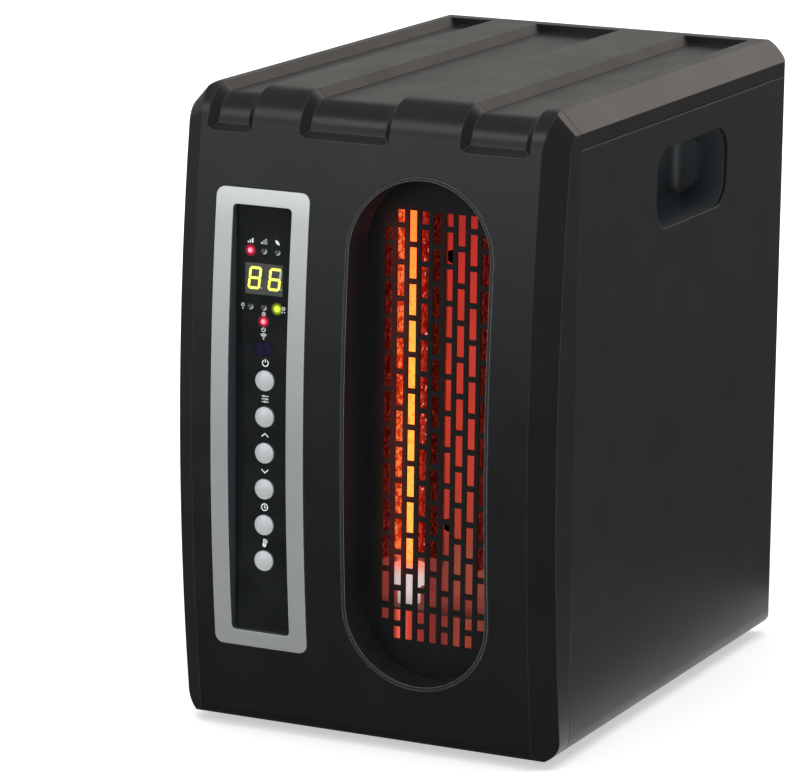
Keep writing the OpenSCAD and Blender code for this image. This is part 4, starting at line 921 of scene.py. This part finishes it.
        # Steps in a turn, and sides of the wire
        steps, sides = 12, 5
        mesh = bmesh.new()
        rings = []
        for i in range(turns * steps + 1):
            a = math.tau * i / steps
            z = low.z + wire + pitch * i / steps
            rings.append([
                mesh.verts.new((axis.x + away * math.cos(a), axis.y + away * math.sin(a), rise))
                for away, rise in arc(radius, z, wire, steps=sides)])
        skin(mesh, rings)
        finish = Finish(side + " hot wire", tone(255, 150, 60), 0.5)
        height = finish.spread(finish.split()[2], low.z, high.z)
        hot = tuple(scene.heater_colours.coil)
        heat = finish.ramp(height, [
            (0.0, tone(255, 172, 98)), (0.06, tone(255, 190, 104)), (0.2, hot), (0.55, hot),
            (0.72, tone(255, 176, 84)), (0.88, tone(255, 146, 76)), (1.0, tone(252, 130, 76))])
        strokes = finish.spread(finish.noise(2.4 * MM, 2.0, finish.stretch((1.6, 1.0, 0.7))), 0.56, 0.64)
        finish.glow(finish.mix(finish.times(strokes, 0.7), heat, tone(206, 96, 40)), 1.0)
        made = piece(side + "_wound_coil", mesh, finish, smooth=True)
        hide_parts(node)


class HEATER_OT_inside(bpy.types.Operator):
    """Finish the parts inside the cabinet."""
    bl_idname = "heater.inside"
    bl_label = "Finish inner parts"

    def execute(self, context):
        coat(brushed("bare sheet", tone(176, 174, 168), 0.4, "x"), "chamber_stand", "air_duct")
        board = Finish("circuit board", tone(30, 92, 52), 0.35)
        tracks = board.cells(2.4 * MM, "DISTANCE_TO_EDGE")
        board.paint(board.tones(tracks, (0.05, 46, 122, 72), (0.12, 26, 84, 48)))
        coat(board, "control_board", "power_board")
        black = moulded("component plastic", tone(34, 34, 35), 0.5)
        coat(black, "key_switches", "fan_frame", "fan_wheel", "fan_motor", "tip_over_switch")
        nylon = moulded("natural nylon", tone(214, 212, 200), 0.5)
        coat(nylon, "board_standoffs", "thermal_cutout")
        return {"FINISHED"}


class HEATER_OT_rear(bpy.types.Operator):
    """Finish the intake, the switch, the cord inlet, the feet and the screws."""
    bl_idname = "heater.rear"
    bl_label = "Finish rear parts"

    def execute(self, context):
        coat(moulded("filter frame", tone(30, 30, 30), 0.48, edge=0.5 * MM), "filter_cover")
        foam = Finish("filter foam", tone(74, 78, 80), 0.95)
        pores = foam.cells(1.6 * MM)
        foam.paint(foam.tones(pores, (0.1, 30, 32, 33), (0.6, 96, 100, 102)))
        foam.bump(pores, 0.6 * MM)
        coat(foam, "air_filter")
        gloss = moulded("switch plastic", tone(18, 18, 19), 0.2, depth=0.004 * MM, edge=0.4 * MM)
        coat(gloss, "switch_housing", "power_rocker")
        rubber = moulded("rubber", tone(24, 24, 24), 0.8, depth=0.03 * MM, edge=0.5 * MM)
        coat(rubber, "cord_inlet", "feet")
        zinc = brushed("zinc plate", tone(150, 152, 156), 0.35, "x")
        coat(zinc, "foot_screws", "rear_screws", "bezel_screws")
        return {"FINISHED"}


class HEATER_OT_stage(bpy.types.Operator):
    """Build the pale floor, the studio light and the camera."""
    bl_idname = "heater.stage"
    bl_label = "Build stage"

    def execute(self, context):
        self.floor()
        self.sky(context.scene)
        self.softbox("overhead", (0.2, 0.3, 3.0), (0, 0, 0), 4.0, 150)
        self.softbox("front", (0.6, -3.0, 2.2), (0, 0, 0.2), 2.4, 40)
        self.camera(context.scene)
        context.scene.view_settings.view_transform = "Standard"
        return {"FINISHED"}

    def floor(self):
        """Pale ground, and a strip of it on the right that the housing mirrors."""
        finish = self.pale("pale floor", 0.62, 0.02, 0.7, 0.9)
        away = finish.reach((0.0, 0.0, 0.0))
        finish.glow((1.0, 1.0, 1.0), finish.spread(away, 0.25, 1.6, 0.52, 0.85))
        self.ground("floor", finish, (-14.0, -14.0), (14.0, 14.0), 0.0, False)
        strip = self.pale("floor beside", 0.5, 0.02, 0.8, 0.3)
        strip.glow((1.0, 1.0, 1.0), 0.5)
        low, high = cad_box
        start, end = (high[0] - 0.01, low[1] + 0.02), (high[0] + 0.034, high[1] + 0.1)
        self.ground("floor_beside", strip, start, end, 0.1 * MM, True)

    def pale(self, name, level, sway, roughness, size):
        """Near-white finish whose brightness sways a little in clouds of a size."""
        finish = Finish(name, (level, level, level), roughness)
        dark, light = ((c, c, c - 0.005) for c in (level - sway, level + sway))
        finish.paint(finish.ramp(finish.noise(size), [(0.3, dark), (0.7, light)]))
        return finish

    def ground(self, name, finish, low, high, z, mirrored):
        mesh = bmesh.new()
        corners = ((low[0], low[1]), (high[0], low[1]), (high[0], high[1]), (low[0], high[1]))
        mesh.faces.new([mesh.verts.new((x, y, z)) for x, y in corners])
        made = placed(name, mesh, finish)
        made.visible_glossy = mirrored

    # Pale walls of the studio: direction, angles at which each is full and gone, colour and brightness
    walls = (
        ((-0.42, -0.89, 0.15), 5, 15, (0.98, 1.0, 1.04), 1.5),
        ((-0.42, -0.64, 0.64), 7, 14, (0.98, 1.0, 1.04), 2.6),
        ((0.15, -0.96, 0.16), 6, 18, (0.98, 1.0, 1.02), 1.0),
        ((0.28, 0.85, 0.44), 12, 28, (1.0, 0.88, 0.82), 1.3),
        ((-0.36, 0.90, 0.24), 10, 24, (1.0, 1.0, 0.93), 0.4),
        ((-0.90, 0.16, 0.45), 8, 20, (1.0, 1.0, 1.0), 0.8),
        ((0.98, 0.10, -0.15), 6, 15, (0.86, 0.94, 1.0), 1.6),
        ((0.84, 0.50, -0.24), 14, 27, (1.0, 1.0, 1.0), 0.36),
        ((-0.84, -0.46, -0.26), 12, 25, (1.0, 1.0, 1.0), 0.36),
    )

    def sky(self, scene):
        """Dim studio, darker below the horizon, with the pale walls that the housing mirrors."""
        scene.world = bpy.data.worlds.new("studio")
        studio = Shading(scene.world, "Generated")
        height = studio.spread(studio.split()[2], -1.0, 1.0)
        light = studio.ramp(height, [
            (0.0, (0.04, 0.036, 0.032)), (0.36, (0.07, 0.065, 0.06)), (0.44, (0.13, 0.125, 0.12)),
            (0.54, (0.28, 0.28, 0.28)), (0.68, (0.2, 0.2, 0.205)), (0.85, (0.16, 0.16, 0.165)),
            (1.0, (0.3, 0.3, 0.3))])
        for direction, full, gone, colour, strength in self.walls:
            along = studio.meet(studio.place, Vector(direction).normalized())
            share = studio.spread(along, math.cos(math.radians(gone)), math.cos(math.radians(full)))
            light = studio.mix(share, light, scaled(colour, strength))
        background = studio.node("ShaderNodeBackground", {"Color": light})
        studio.node("ShaderNodeOutputWorld", {"Surface": background.outputs[0]})

    def softbox(self, name, place, aim, size, power):
        """A broad light that the housing doesn't mirror."""
        data = bpy.data.lights.new(name, "AREA")
        data.shape = "SQUARE"
        data.size = size
        data.energy = power
        made = bpy.data.objects.new(name, data)
        made.visible_glossy = False
        made.location = place
        made.rotation_mode = "QUATERNION"
        made.rotation_quaternion = (Vector(aim) - Vector(place)).to_track_quat("-Z", "Y")
        bpy.context.scene.collection.objects.link(made)

    def camera(self, scene):
        view = scene.heater_view
        data = bpy.data.cameras.new("camera")
        data.lens = view.lens
        data.clip_end = 50
        level = math.cos(view.elevation)
        side, ahead = math.sin(view.azimuth) * level, -math.cos(view.azimuth) * level
        back = Vector((side, ahead, math.sin(view.elevation)))
        made = bpy.data.objects.new("camera", data)
        made.location = Vector(view.aim) + back * view.distance
        made.rotation_mode = "QUATERNION"
        made.rotation_quaternion = back.to_track_quat("Z", "Y") @ Quaternion((0, 0, 1), view.roll)
        scene.collection.objects.link(made)
        scene.camera = made


STEPS = (
    HEATER_OT_housing, HEATER_OT_trim, HEATER_OT_buttons, HEATER_OT_marks, HEATER_OT_display,
    HEATER_OT_lamps, HEATER_OT_outlet, HEATER_OT_inside, HEATER_OT_rear, HEATER_OT_stage,
)


class HEATER_PT_sidebar(bpy.types.Panel):
    """Lists the heater's steps and settings in the 3D view's sidebar."""
    bl_idname = "HEATER_PT_sidebar"
    bl_label = "Heater"
    bl_space_type = "VIEW_3D"
    bl_region_type = "UI"
    bl_category = "Heater"

    def draw(self, context):
        for step in STEPS:
            self.layout.operator(step.bl_idname)
        for place in GROUPS:
            group = getattr(context.scene, place)
            for name in group.__annotations__:
                self.layout.prop(group, name)


GROUPS = {"heater_sizes": HeaterSizes, "heater_colours": HeaterColours, "heater_view": HeaterView}


def register():
    for name, group in GROUPS.items():
        bpy.utils.register_class(group)
        setattr(bpy.types.Scene, name, bpy.props.PointerProperty(type=group))
    for step in (*STEPS, HEATER_PT_sidebar):
        bpy.utils.register_class(step)


def unregister():
    for step in (HEATER_PT_sidebar, *reversed(STEPS)):
        bpy.utils.unregister_class(step)
    for name, group in GROUPS.items():
        delattr(bpy.types.Scene, name)
        bpy.utils.unregister_class(group)


def main():
    register()
    for step in STEPS:
        getattr(bpy.ops.heater, step.bl_idname.split(".")[1])()


if __name__ == "__main__":
    main()
